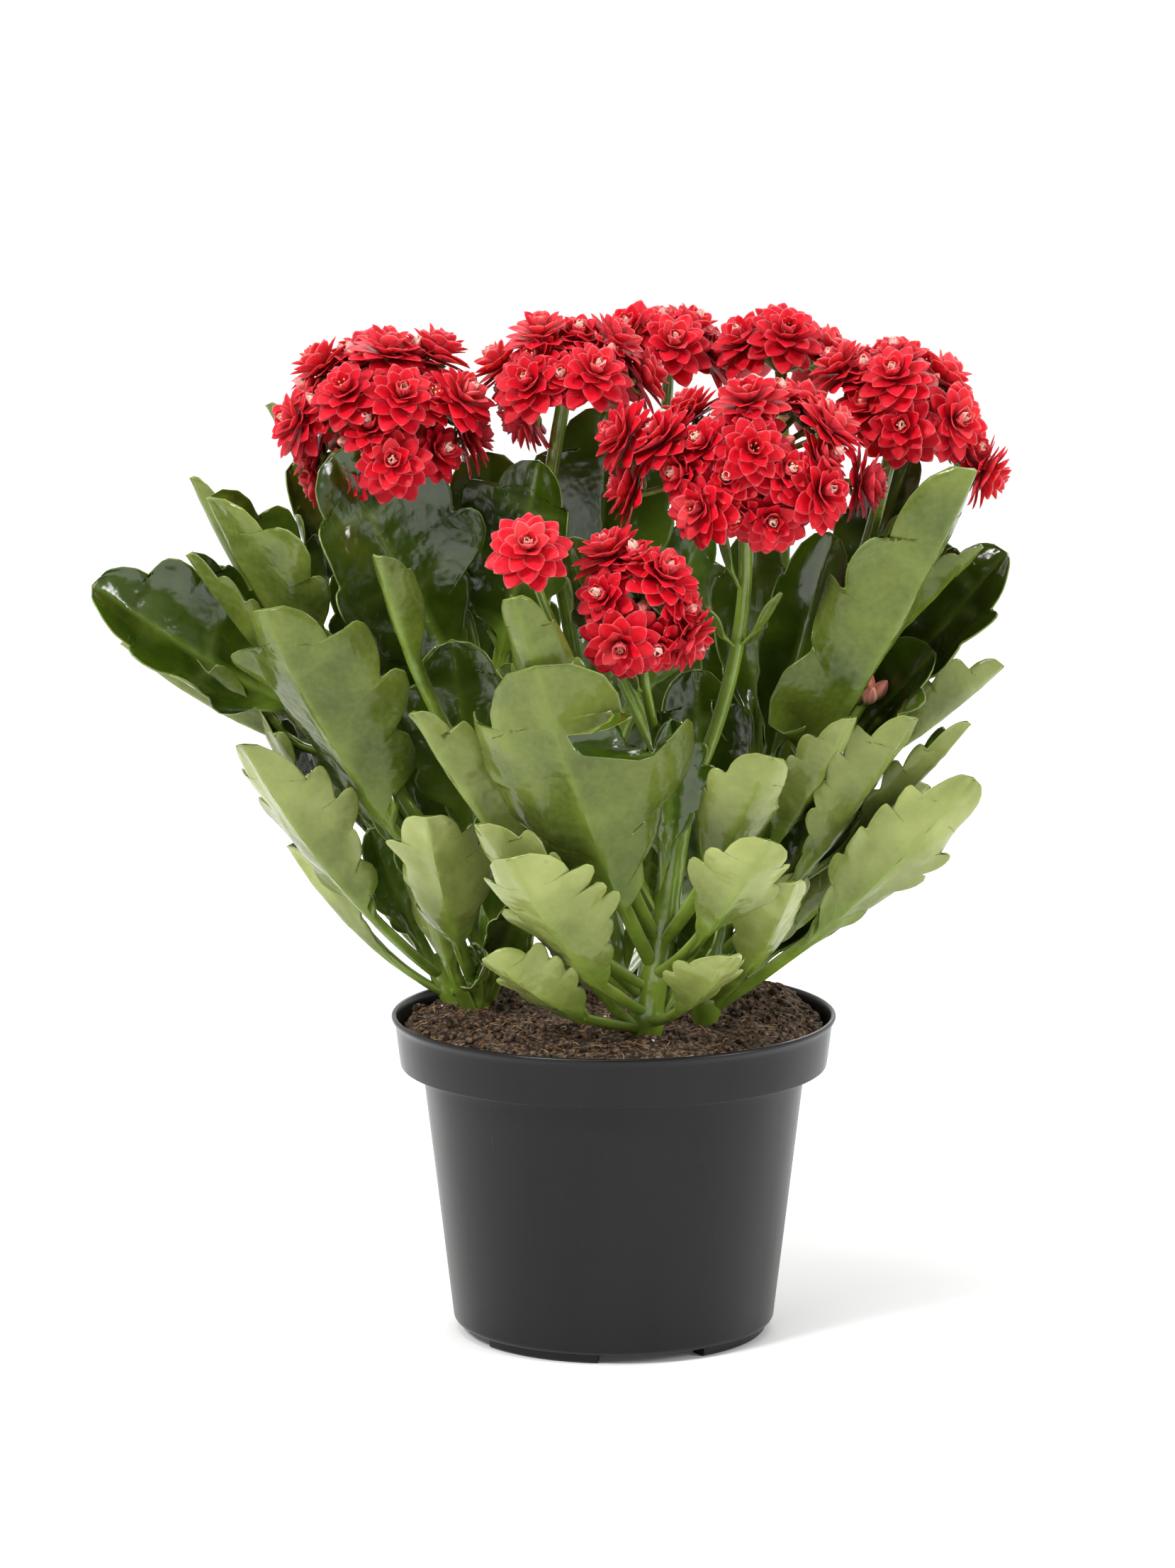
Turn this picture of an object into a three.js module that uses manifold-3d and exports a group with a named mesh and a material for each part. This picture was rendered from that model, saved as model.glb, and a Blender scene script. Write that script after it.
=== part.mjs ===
// Potted kalanchoe with double red flowers in a 12 cm nursery pot.
// Millimetres, +Z up. The origin is the centre of the pot's underside.
// -Y is the side that faces the viewer.
import * as THREE from 'three';
import { mergeVertices } from 'three/addons/utils/BufferGeometryUtils.js';
import Module from 'manifold-3d';

// Driving dimensions of the pot
const POT_HEIGHT = 87;
const RIM_RADIUS = 60;
const LIP_BOTTOM_RADIUS = 57.6;
const LIP_HEIGHT = 14;
const BODY_TOP_RADIUS = 52;
const BODY_BOTTOM_RADIUS = 43.5;
const WALL = 1.2;
const CORNER = 2;
const RIM_EDGE = 1.6;
const POT_SIDES = 32;

// Underside of the pot: a flat disc in the middle that the pot also stands on
const CENTRE_DISC = 12;

// Feet and drain holes of the pot
const FEET = 4;
const FOOT_HEIGHT = 2.4;
const FOOT_OUTER = 41.2;
const FOOT_INNER = 36;
const FOOT_SPAN = 48;
const FOOT_START = -144;
const FOOT_STEPS = 5;
const DRAIN_HOLES = 6;
const DRAIN_RADIUS = 3.5;
const DRAIN_RING = 28;
const DRAIN_SIDES = 6;

// Driving dimensions of the soil
const SOIL_LEVEL = 86;
const SOIL_RADIUS = 56.4;
const SOIL_HEAP = { height: 5, x: 34, y: 36, spread: 16 };
const SOIL_EDGE_DIP = 2;
const SOIL_RIPPLE = 0.8;
const SOIL_SECTORS = 20;

// Clearance kept between pieces that touch
const GAP = 0.3;

const STEM_SIDES = 5;

// Leaf: how far its skins lie from its middle surface, at the midrib and half way to the edge
const RIB_TOP = 0.8;
const RIB_BELOW = 1.3;
const MID_SKIN = 0.7;
const PETIOLE_HALF_WIDTH = 2.1;

// Leaves this wide have a row of points between midrib and edge, and narrow ones have plainer lobes
const WIDE_LEAF = 36;
const NARROW_LEAF = 31;

// Lobes of a leaf, as angles from the tip: half of the end lobe, and where the lobes stop
const END_LOBE = 0.21 * Math.PI;
const LOBED_REACH = 0.8 * Math.PI;
const LOBE_SLANT = 0.05;

// Double floret: its radius and the petals of its two layers.
// A petal's notch, shoulder and tip each have a height along the floret's axis, from its centre.
const FLORET_RADIUS = 10.6;
const OUTER_LAYER = { petals: 7, reach: 1, notch: 0.55, shoulder: 0.8, heights: [0.2, -0.2, -1.6] };
const INNER_LAYER = { petals: 5, reach: 0.74, notch: 0.5, shoulder: 0, heights: [3, 3, 4] };
const PETAL_DROOP = 1.4;
const NECK = { radius: 1.3, height: -2.6 };
const WAIST = { radius: 3, height: 2 };
const THROAT = { radius: 2.6, height: 4 };
const FLORET_TOP = 7.6;
const NECK_SIDES = 4;

const wasm = await Module();
wasm.setup();

const vec = (p) => new THREE.Vector3(p[0], p[1], p[2]);
const mix = (a, b, share) => a + (b - a) * share;
const radians = THREE.MathUtils.degToRad;

// Repeatable draw between 0 and 1 for a pair of whole numbers
function draw(a, b) {
  const wave = Math.sin(a * 12.9898 + b * 78.233) * 43758.5453;
  return wave - Math.floor(wave);
}

// Solids from geometry and back
function solidOf(geometry) {
  geometry.deleteAttribute('normal');
  geometry.deleteAttribute('uv');
  const merged = mergeVertices(geometry, 1e-4);
  return new wasm.Manifold(new wasm.Mesh({
    numProp: 3,
    vertProperties: new Float32Array(merged.attributes.position.array),
    triVerts: new Uint32Array(merged.index.array),
  }));
}

function solidFrom(points, triangles) {
  const geometry = new THREE.BufferGeometry();
  const coordinates = points.flatMap((p) => [p.x, p.y, p.z]);
  geometry.setAttribute('position', new THREE.Float32BufferAttribute(coordinates, 3));
  geometry.setIndex(triangles);
  return solidOf(geometry);
}

// The largest body, without loose scraps and with the hollows that joining seals filled
function oneBody(solid) {
  return solid.decompose().reduce((a, b) => (a.volume() > b.volume() ? a : b));
}

function joined(solids) {
  return oneBody(wasm.Manifold.union(solids));
}

function meshOf(name, solid, color, roughness) {
  const data = solid.getMesh();
  const geometry = new THREE.BufferGeometry();
  geometry.setAttribute('position', new THREE.Float32BufferAttribute(data.vertProperties, 3));
  geometry.setIndex(new THREE.Uint32BufferAttribute(data.triVerts, 1));
  geometry.computeVertexNormals();
  const mesh = new THREE.Mesh(geometry, new THREE.MeshStandardMaterial({ color, roughness, metalness: 0 }));
  mesh.name = name;
  return mesh;
}

// Axes of the plant: stems, side shoots and flower stalks. Each belongs to one leafy stem's node.
const AXES = {
  left: {
    node: 'stem_left',
    radius: 3.0,
    points: [[-38, 18, 66], [-37, 17, 90], [-34, 13, 130], [-35, 10, 165]],
  },
  leftShoot: {
    node: 'stem_left',
    radius: 2.4,
    points: [[-36, 15, 102], [-48, 10, 128], [-66, 4, 160]],
  },
  leftLow: {
    node: 'stem_left',
    radius: 2.6,
    points: [[-38, 18, 70], [-43, 20, 84], [-50, 22, 98]],
  },
  stalkA: {
    node: 'stem_left',
    radius: 1.9,
    points: [[-35, 10, 160], [-40, 10, 195], [-52, 7, 218], [-60, 3, 240]],
  },
  front: {
    node: 'stem_front',
    radius: 3.5,
    points: [[9, -25, 66], [9, -26, 90], [13, -28, 116], [18, -28, 150]],
  },
  stalkF: {
    node: 'stem_front',
    radius: 1.9,
    points: [[17, -28, 145], [28, -24, 172], [34, -22, 200], [35, -24, 236]],
  },
  stalkG: {
    node: 'stem_front',
    radius: 1.4,
    points: [[14, -28, 132], [12, -36, 162], [8, -44, 185], [7, -48, 202]],
  },
  stalkH: {
    node: 'stem_front',
    radius: 1.2,
    points: [[13, -34, 150], [-4, -44, 178], [-17, -54, 204], [-22, -58, 218]],
  },
  right: {
    node: 'stem_right',
    radius: 3.0,
    points: [[23.6, -6.3, 66], [25, -6, 90], [31, -4, 120], [42, -2, 148]],
  },
  stalkE: {
    node: 'stem_right',
    radius: 1.9,
    points: [[41, -2, 145], [54, 0, 180], [67, 1, 212], [75, 0, 244]],
  },
  stalkD: {
    node: 'stem_right',
    radius: 1.6,
    points: [[42, -2, 146], [45, 10, 185], [46, 18, 225], [45, 22, 258]],
  },
  stalkBuds: {
    node: 'stem_right',
    radius: 1.3,
    points: [[38, -3, 138], [50, -8, 151], [60, -10, 162], [67, -9, 174]],
  },
  back: {
    node: 'stem_back',
    radius: 3.0,
    points: [[2, 26, 66], [1, 26, 90], [-3, 25, 125], [-6, 22, 155]],
  },
  stalkB: {
    node: 'stem_back',
    radius: 1.9,
    points: [[-6, 22, 152], [-12, 15, 190], [-17, 6, 225], [-13, 3, 255]],
  },
  stalkC: {
    node: 'stem_back',
    radius: 1.6,
    points: [[-5, 23, 150], [6, 31, 190], [13, 37, 228], [15, 31, 262]],
  },
};

// Leaves: axis, share of the way up it, then tip x, y, z | direction the upper side looks
// | width | petiole share | belly | fold | cup | lobes a side | lobe depth
const LEAVES = [
  ['leftShoot', 1.0, -138, -8, 205, 0.25, -0.75, 0.6, 50, 0.25, 5, 10, 50, 3, 0.3],
  ['leftShoot', 0.9, -132, 8, 187, 0.2, 0.3, 0.9, 30, 0.25, 5, 20, 40, 3, 0.3],
  ['leftShoot', 0.92, -113, -8, 213, 0.6, -0.2, 0.8, 23, 0.4, 3, 45, 30, 3, 0.3],
  ['leftShoot', 0.84, -107, -14, 229, 0.65, -0.05, 0.75, 60, 0.25, 3, 30, 50, 3, 0.3],
  ['leftShoot', 0.65, -113, 12, 231, 0.5, 0.4, 0.8, 25, 0.35, 4, 30, 30, 2, 0.22],
  ['left', 0.86, -86, 20, 234, 0.3, -0.8, 0.5, 42, 0.4, 3, 10, 40, 3, 0.3],
  ['left', 0.93, -94, 43, 247, 0.9, 0.2, 0.3, 21, 0.5, 2, 35, 40, 2, 0.22],
  ['left', 1.0, -74, -17, 241, 0.2, -0.9, 0.3, 57, 0.15, 0, 8, 40, 3, 0.33],
  ['left', 0.95, -20, 0, 237, -0.2, -0.9, 0.3, 44, 0.3, 0, 10, 40, 3, 0.33],
  ['left', 0.8, -34, 26, 236, 0, -0.9, 0.3, 39, 0.4, 0, 10, 40, 3, 0.3],
  ['leftShoot', 0.25, -92, -32, 202, 0.4, 0.75, 0.5, 60, 0.3, 6, 8, 60, 3, 0.38],
  ['leftLow', 0.8, -98, -20, 164, 0.5, 0.7, 0.5, 41, 0.3, 5, 8, 50, 4, 0.33],
  ['leftLow', 0.62, -88, 16, 130, 0.75, 0.1, 0.6, 25, 0.3, 4, 20, 40, 3, 0.22],
  ['leftLow', 1.0, -97, 2, 172, 0.7, -0.2, 0.6, 25, 0.4, 4, 15, 40, 3, 0.3],
  ['left', 0.34, -49, -40, 148, 0.1, 0.85, 0.45, 38, 0.35, 6, 8, 60, 4, 0.3],
  ['leftLow', 0.68, -35, -10, 104, -0.9, -0.4, 0.3, 17, 0.3, 3, 15, 40, 3, 0.3],
  ['left', 0.5, -43, -12, 190, 0, -0.9, 0.4, 46, 0.3, 4, 8, 40, 3, 0.3],
  ['left', 0.82, -61, -45, 218, 0.3, 0.7, 0.6, 21, 0.6, 6, 25, 50, 2, 0.15],
  ['front', 0.4, -52, -45, 177, 0.5, 0.6, 0.6, 28, 0.35, 5, 45, 30, 4, 0.27],
  ['front', 0.45, -35, -55, 149, 0.3, 0.6, 0.7, 30, 0.3, 5, 10, 40, 4, 0.22],
  ['front', 0.52, -20, -72, 193, 0.05, 0.8, 0.5, 76, 0.24, 8, 5, 50, 3, 0.46],
  ['front', 0.36, -27, -70, 143, 0.3, 0.8, 0.5, 44, 0.3, 6, 10, 50, 5, 0.33],
  ['front', 0.31, -33, -50, 113, 0.3, 0.7, 0.6, 30, 0.35, 5, 10, 50, 4, 0.3],
  ['front', 0.5, 40, -73, 148, 0, 0.7, 0.7, 32, 0.4, 6, 10, 60, 3, 0.3],
  ['front', 0.33, 30, -58, 115, -0.1, 0.4, 0.9, 28, 0.35, 4, 10, 40, 3, 0.3],
  ['front', 0.6, -26, -72, 211, 0.1, 0.7, 0.6, 26, 0.5, 4, 15, 60, 3, 0.22],
  ['front', 1.0, -13, -38, 221, 0.3, -0.8, 0.4, 25, 0.5, 2, 15, 40, 3, 0.27],
  ['front', 0.68, -30, -44, 188, 0.1, -0.3, 0.9, 30, 0.4, -2, 15, 40, 3, 0.22],
  ['front', 0.6, 41, -62, 168, 0, 0.7, 0.6, 32, 0.4, 5, 15, 60, 3, 0.3],
  ['front', 0.7, 15, -40, 174, 0.4, -0.9, 0.2, 28, 0.3, 0, 15, 30, 4, 0.38],
  ['right', 0.88, 38, 2, 218, 0, -0.9, 0.3, 30, 0.3, 0, 15, 30, 3, 0.22],
  ['right', 0.36, 47, -55, 133, -0.3, 0.8, 0.5, 30, 0.4, 5, 15, 50, 3, 0.3],
  ['right', 0.31, 95, -25, 156, -0.4, 0.8, 0.45, 37, 0.35, 5, 6, 20, 5, 0.3],
  ['right', 0.4, 84, -2, 150, -0.6, 0.5, 0.6, 32, 0.3, 4, 15, 40, 4, 0.27],
  ['right', 0.48, 79, -30, 173, -0.6, 0.6, 0.5, 32, 0.35, 4, 15, 40, 5, 0.3],
  ['right', 0.7, 65, -35, 181, -0.4, 0.6, 0.6, 28, 0.3, 4, 20, 40, 4, 0.3],
  ['right', 0.75, 94, -42, 240, -0.5, 0.65, 0.45, 59, 0.22, 4, 12, 30, 3, 0.45],
  ['right', 1.0, 105, 2, 212, -0.5, -0.7, 0.5, 48, 0.35, 4, 10, 60, 3, 0.3],
  ['right', 0.92, 104, 1, 182, -0.3, 0.5, 0.8, 34, 0.4, 4, 15, 40, 3, 0.3],
  ['right', 0.95, 85, -10, 187, -0.4, -0.6, 0.7, 39, 0.35, 3, 10, 40, 3, 0.22],
  ['right', 0.56, 94, -22, 170, -0.7, 0.3, 0.6, 21, 0.4, 4, 30, 40, 4, 0.3],
  ['right', 0.8, 57, -17, 220, 0, -0.9, 0.3, 30, 0.3, 0, 15, 40, 3, 0.22],
  ['stalkE', 0.12, 80, 20, 236, -0.3, -0.8, 0.4, 28, 0.4, 2, 15, 40, 3, 0.22],
  ['stalkE', 0.25, 97, -10, 216, -0.8, 0.3, 0.4, 21, 0.5, 2, 25, 40, 3, 0.22],
  ['back', 0.92, -2, 20, 249, 0, -0.9, 0.3, 48, 0.35, 0, 8, 40, 3, 0.22],
  ['left', 0.32, -62, 2, 172, 0.3, -0.8, 0.5, 40, 0.3, 3, 10, 40, 3, 0.3],
  ['left', 0.22, -20, -6, 150, 0.1, -0.85, 0.5, 34, 0.3, 3, 10, 40, 3, 0.3],
  ['right', 0.36, 22, 4, 180, 0, -0.9, 0.3, 40, 0.3, 3, 10, 40, 3, 0.3],
  ['right', 0.32, 66, 6, 160, -0.2, -0.8, 0.5, 36, 0.3, 3, 10, 40, 3, 0.3],
];

// Leaves on the side away from the viewer, in two tiers round each stem
const BACK_TIERS = [
  { axis: 'back', share: 0.44, turn: 92, spread: 116, count: 4, reach: 66, tipZ: 136, width: 42 },
  { axis: 'back', share: 0.72, turn: 88, spread: 100, count: 3, reach: 50, tipZ: 200, width: 48 },
  { axis: 'left', share: 0.62, turn: 130, spread: 56, count: 2, reach: 60, tipZ: 188, width: 44 },
  { axis: 'right', share: 0.62, turn: 54, spread: 36, count: 2, reach: 58, tipZ: 190, width: 46 },
];

// Flower heads: hub, core radii, and the floret centres
const HEADS = {
  head_a: {
    hub: [-60, 3, 242],
    core: [13, 11, 10],
    florets: [
      [-70, -15, 257], [-56, -18, 256], [-84, -5, 248], [-40, -10, 255], [-58, -19, 239], [-78, 3, 231],
      [-60, -5, 267], [-47, 3, 266], [-78, 4, 262], [-38, 0, 243], [-66, 14, 264], [-50, 18, 256],
      [-74, 18, 248], [-58, 22, 240],
    ],
  },
  head_b: {
    hub: [-13, 3, 255],
    core: [9, 9, 7],
    florets: [
      [-22, -14, 259], [-5, -15, 262], [-19, -4, 271], [0, -2, 269], [8, 4, 259], [-24, 2, 248],
      [-30, 5, 262], [-14, 16, 264],
    ],
  },
  head_c: {
    hub: [14, 29, 260],
    core: [6, 6, 5],
    florets: [[5, 22, 269], [16, 16, 266], [21, 27, 269], [11, 39, 266]],
  },
  head_d: {
    hub: [45, 23, 258],
    core: [9, 7, 6],
    florets: [[35, 16, 267], [46, 11, 269], [57, 21, 264], [40, 32, 264], [54, 36, 261]],
  },
  head_e: {
    hub: [76, 1, 246],
    core: [9, 9, 7],
    florets: [
      [60, -3, 262], [74, -15, 261], [90, -12, 249], [99, -2, 233], [76, -17, 248], [76, 13, 262],
      [88, 10, 258], [84, 18, 246],
    ],
  },
  head_f: {
    hub: [35, -24, 238],
    core: [15, 8, 8],
    florets: [
      [12, -33, 247], [36, -44, 245], [35, -34, 257], [57, -32, 250], [54, -42, 234], [23, -42, 230],
      [41, -40, 227], [4, -27, 233], [66, -24, 234], [20, -16, 252], [50, -14, 253],
    ],
  },
  head_g: {
    hub: [7, -47, 206],
    core: [5, 5, 6],
    florets: [[-1, -48, 219], [13, -56, 214], [2, -60, 197], [19, -52, 197]],
  },
  head_h: { hub: [-22, -58, 220], core: [2.6, 2.6, 2.6], florets: [[-22, -62, 222]] },
};

// Closed buds low on the right side: hub, core radii, the tips of the buds, and the size of one bud
const BUDS = {
  hub: [67, -9, 172],
  core: [2.6, 2.6, 2.6],
  tips: [[68, -9, 182], [73, -8, 179], [69, -14, 178], [62, -11, 178], [63, -5, 178]],
  radius: 2.3,
  length: 7,
};

// Points of the axis curves
const curves = {};
for (const [name, axis] of Object.entries(AXES)) {
  curves[name] = new THREE.CatmullRomCurve3(axis.points.map(vec));
}

// A stem as a tube of five sides. A grown one is the clearance round it and below its end.
function axisSolid(name, grow = 0) {
  const axis = AXES[name];
  const points = axis.points.map(vec);
  points[0].z -= grow;
  const outline = new THREE.Shape();
  for (let i = 0; i < STEM_SIDES; i += 1) {
    const angle = (i / STEM_SIDES) * Math.PI * 2;
    const x = (axis.radius + grow) * Math.cos(angle);
    const y = (axis.radius + grow) * Math.sin(angle);
    if (i === 0) outline.moveTo(x, y);
    else outline.lineTo(x, y);
  }
  outline.closePath();
  return solidOf(new THREE.ExtrudeGeometry(outline, {
    steps: 2 * (axis.points.length - 1),
    bevelEnabled: false,
    extrudePath: new THREE.CatmullRomCurve3(points),
  }));
}

// Half of the end lobe, as an angle from the tip: a little different on the two sides of a leaf
function endLobe(leaf, side) {
  return END_LOBE * (0.8 + 0.4 * draw(leaf.seed, side));
}

// How far a lobe stands out: 1 at the middle of a lobe and 0 in a notch.
// The end lobe comes first, then the side lobes, and the last stretch to the base is plain.
function lobeAt(leaf, fromTip, side) {
  const round = (phase) => Math.sqrt(Math.max(0, Math.cos((Math.min(phase, 1) * Math.PI) / 2)));
  const end = endLobe(leaf, side);
  if (fromTip < end) return { lobe: 0, stand: round(fromTip / end) };
  const local = ((fromTip - end) / (LOBED_REACH - end)) * leaf.lobes;
  const lobe = Math.floor(local) + 1;
  return { lobe, stand: lobe > leaf.lobes ? 0.7 : round(Math.abs(local - lobe + 0.5) * 2) };
}

// Reach of each side lobe from the tip down, on the two leaves that show most
const SHOWN_LOBES = {
  20: { left: [1, 0.95, 0.9], right: [0.9, 1.12, 0.85] },
  36: { left: [0.75, 0.9, 1.15], right: [1.05, 0.8, 0.7] },
};

function lobeReach(leaf, lobe, side) {
  const shown = SHOWN_LOBES[leaf.seed]?.[side > 0 ? 'left' : 'right'];
  return shown?.[lobe - 1] ?? 1 - 0.16 * draw(leaf.seed + side * 0.37, lobe) * Math.min(1, lobe);
}

// Outline of a blade in its own plane, at an angle from 0 at the base to pi at the tip.
// It returns the place along the leaf, the half width there, and the place on the midrib
// that its vein starts from.
function outlineAt(leaf, angle, side) {
  const along = (1 - Math.cos(angle)) / 2;
  const wedge = 1 - 0.6 * Math.cos(angle / 2) ** 4;
  const { lobe, stand } = lobeAt(leaf, Math.PI - angle, side);
  const reach = (1 - leaf.depth * (1 - stand)) * lobeReach(leaf, lobe, side);
  const scale = mix(0.95, reach, Math.min(1, along * 6));
  const forward = LOBE_SLANT * (stand - 0.5) * Math.sin(angle);
  const place = 0.5 + (along - 0.5) * scale + forward;
  const across = (leaf.width / 2) * 1.13 * Math.sin(angle) * wedge * scale;
  const blade = 1 - leaf.petiole;
  return {
    along: leaf.petiole + blade * place,
    across: Math.max(across, along < 0.3 ? PETIOLE_HALF_WIDTH : 0),
    rib: leaf.petiole + blade * along * (0.62 + 0.38 * along),
  };
}

// Angles from the base to the tip at which the outline has a point
function outlineAngles(leaf, side) {
  const end = endLobe(leaf, side);
  const pitch = (LOBED_REACH - end) / leaf.lobes;
  const shares = leaf.width < NARROW_LEAF ? [1, 0.5] : [1, 0.74, 0.26];
  const angles = [0.12 * Math.PI];
  for (let lobe = leaf.lobes; lobe >= 1; lobe -= 1) {
    for (const share of shares) angles.push(Math.PI - end - pitch * (lobe - 1 + share));
  }
  angles.push(Math.PI - end, Math.PI - 0.5 * end);
  return angles;
}

// The leaf in space: a bent midrib with a folded and cupped section across it
function leafPlacer(leaf) {
  const chord = leaf.tip.clone().sub(leaf.root);
  const up = leaf.face.clone().addScaledVector(chord, -leaf.face.dot(chord) / chord.lengthSq()).normalize();
  const knee = leaf.root.clone().lerp(leaf.tip, 0.5).addScaledVector(up, -2 * leaf.belly);
  const curve = new THREE.QuadraticBezierCurve3(leaf.root, knee, leaf.tip);
  return (along, across, lift) => {
    const point = curve.getPoint(along);
    const tangent = curve.getTangent(along);
    const normal = up.clone().addScaledVector(tangent, -up.dot(tangent)).normalize();
    const sideways = new THREE.Vector3().crossVectors(tangent, normal);
    const spread = Math.min(1, Math.max(0, (along - leaf.petiole * 0.6) * 5));
    const fold = radians(leaf.fold) * spread;
    const bow = (radians(leaf.cup) * spread * Math.abs(across)) / (leaf.width / 2);
    const rise = Math.abs(across) * Math.sin(fold + bow / 2);
    const reach = across * Math.cos(fold + bow / 2);
    const tilt = (fold + bow) * Math.sign(across);
    return point
      .addScaledVector(sideways, reach - lift * Math.sin(tilt))
      .addScaledVector(normal, rise + lift * Math.cos(tilt));
  };
}

// Triangles between two rows of points that run side by side, each point with its place along the leaf
function stitch(triangles, inner, outer, turned) {
  const put = (a, b, c) => {
    if (a !== b && b !== c && a !== c) triangles.push(a, turned ? c : b, turned ? b : c);
  };
  let i = 0;
  let j = 0;
  while (i < inner.length - 1 || j < outer.length - 1) {
    const stepInner = i < inner.length - 1 ? inner[i + 1].at : Infinity;
    const stepOuter = j < outer.length - 1 ? outer[j + 1].at : Infinity;
    if (stepInner < stepOuter) {
      put(inner[i].index, outer[j].index, inner[i + 1].index);
      i += 1;
    } else {
      put(inner[i].index, outer[j].index, outer[j + 1].index);
      j += 1;
    }
  }
}

// Place along the leaf and half width of the row between the midrib and the edge
function middleAt(leaf, at, side) {
  const blade = (at - leaf.petiole) / (1 - leaf.petiole);
  const angle = Math.acos(1 - 2 * Math.min(1, blade * (1.3 - 0.3 * blade)));
  const edge = outlineAt({ ...leaf, depth: leaf.depth * 0.4 }, angle, side);
  return { along: mix(at, edge.along, 0.5), across: edge.across / 2 };
}

// One leaf: petiole and blade in a single closed skin, thick along the midrib and thin at the edge
function leafSolid(leaf) {
  const points = [];
  const triangles = [];
  const place = leafPlacer(leaf);
  const add = (at, along, across, lift) => {
    points.push(place(along, across, lift));
    return { at, index: points.length - 1 };
  };
  const wide = leaf.width >= WIDE_LEAF;
  const ribCount = wide ? 5 : 4;
  const stations = [0, leaf.petiole * 0.6, leaf.petiole];
  for (let i = 1; i < ribCount; i += 1) stations.push(mix(leaf.petiole, 1, (i / ribCount) ** 1.1));
  const thin = (at) => mix(1, 0.55, Math.max(0, (at - leaf.petiole) / (1 - leaf.petiole)));
  const ribs = [RIB_TOP, -RIB_BELOW].map((lift) => stations.map((at) => add(at, at, 0, lift * thin(at))));
  const tip = add(1, 1, 0, 0);
  const cap = [];
  for (const side of [1, -1]) {
    const edge = stations.slice(0, 2).map((at) => add(at, at, side * PETIOLE_HALF_WIDTH, 0));
    for (const angle of outlineAngles(leaf, side)) {
      const spot = outlineAt(leaf, angle, side);
      edge.push(add(spot.rib, spot.along, side * spot.across, 0));
    }
    cap.push(edge[0].index, ribs[side > 0 ? 0 : 1][0].index);
    ribs.forEach((rib, face) => {
      const turned = (face === 0) === (side < 0);
      const lift = face === 0 ? MID_SKIN : -MID_SKIN;
      const middle = stations.map((at, i) => {
        if (i < 2) return rib[i];
        const spot = middleAt(leaf, at, side);
        return add(at, spot.along, side * spot.across, lift * thin(at));
      });
      const rows = wide ? [rib, middle, edge] : [rib, edge];
      for (let i = 0; i + 1 < rows.length; i += 1) {
        stitch(triangles, [...rows[i], tip], [...rows[i + 1], tip], turned);
      }
    });
  }
  triangles.push(cap[0], cap[1], cap[2], cap[0], cap[2], cap[3]);
  return solidFrom(points, triangles);
}

function leafFromRow(row, seed) {
  const [axis, share, x, y, z, faceX, faceY, faceZ, width, petiole, belly, fold, cup, lobes, depth] = row;
  return {
    axis,
    root: curves[axis].getPoint(share),
    tip: vec([x, y, z]),
    face: vec([faceX, faceY, faceZ]),
    width,
    petiole,
    belly,
    fold,
    cup,
    lobes,
    depth,
    seed,
  };
}

// Rows for the leaves of a tier, spread round a stem and leaning out, every second one lower and further out
function tierRows(tier, index) {
  const rows = [];
  for (let i = 0; i < tier.count; i += 1) {
    const angle = radians(tier.turn + tier.spread * (i / (tier.count - 1) - 0.5));
    const outer = i % 2;
    const reach = tier.reach * (0.92 + 0.2 * outer + 0.08 * draw(index, i));
    const share = tier.share - 0.1 * outer;
    const root = curves[tier.axis].getPoint(share);
    rows.push([
      tier.axis, share,
      root.x + reach * Math.cos(angle), root.y + reach * Math.sin(angle), tier.tipZ - 12 * outer,
      -Math.cos(angle), -Math.sin(angle), 0.8, tier.width, 0.3, 5 + 3 * outer, 8, 50, 3 + outer, 0.32,
    ]);
  }
  return rows;
}

const leaves = [...LEAVES, ...BACK_TIERS.flatMap(tierRows)].map(leafFromRow);

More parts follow.
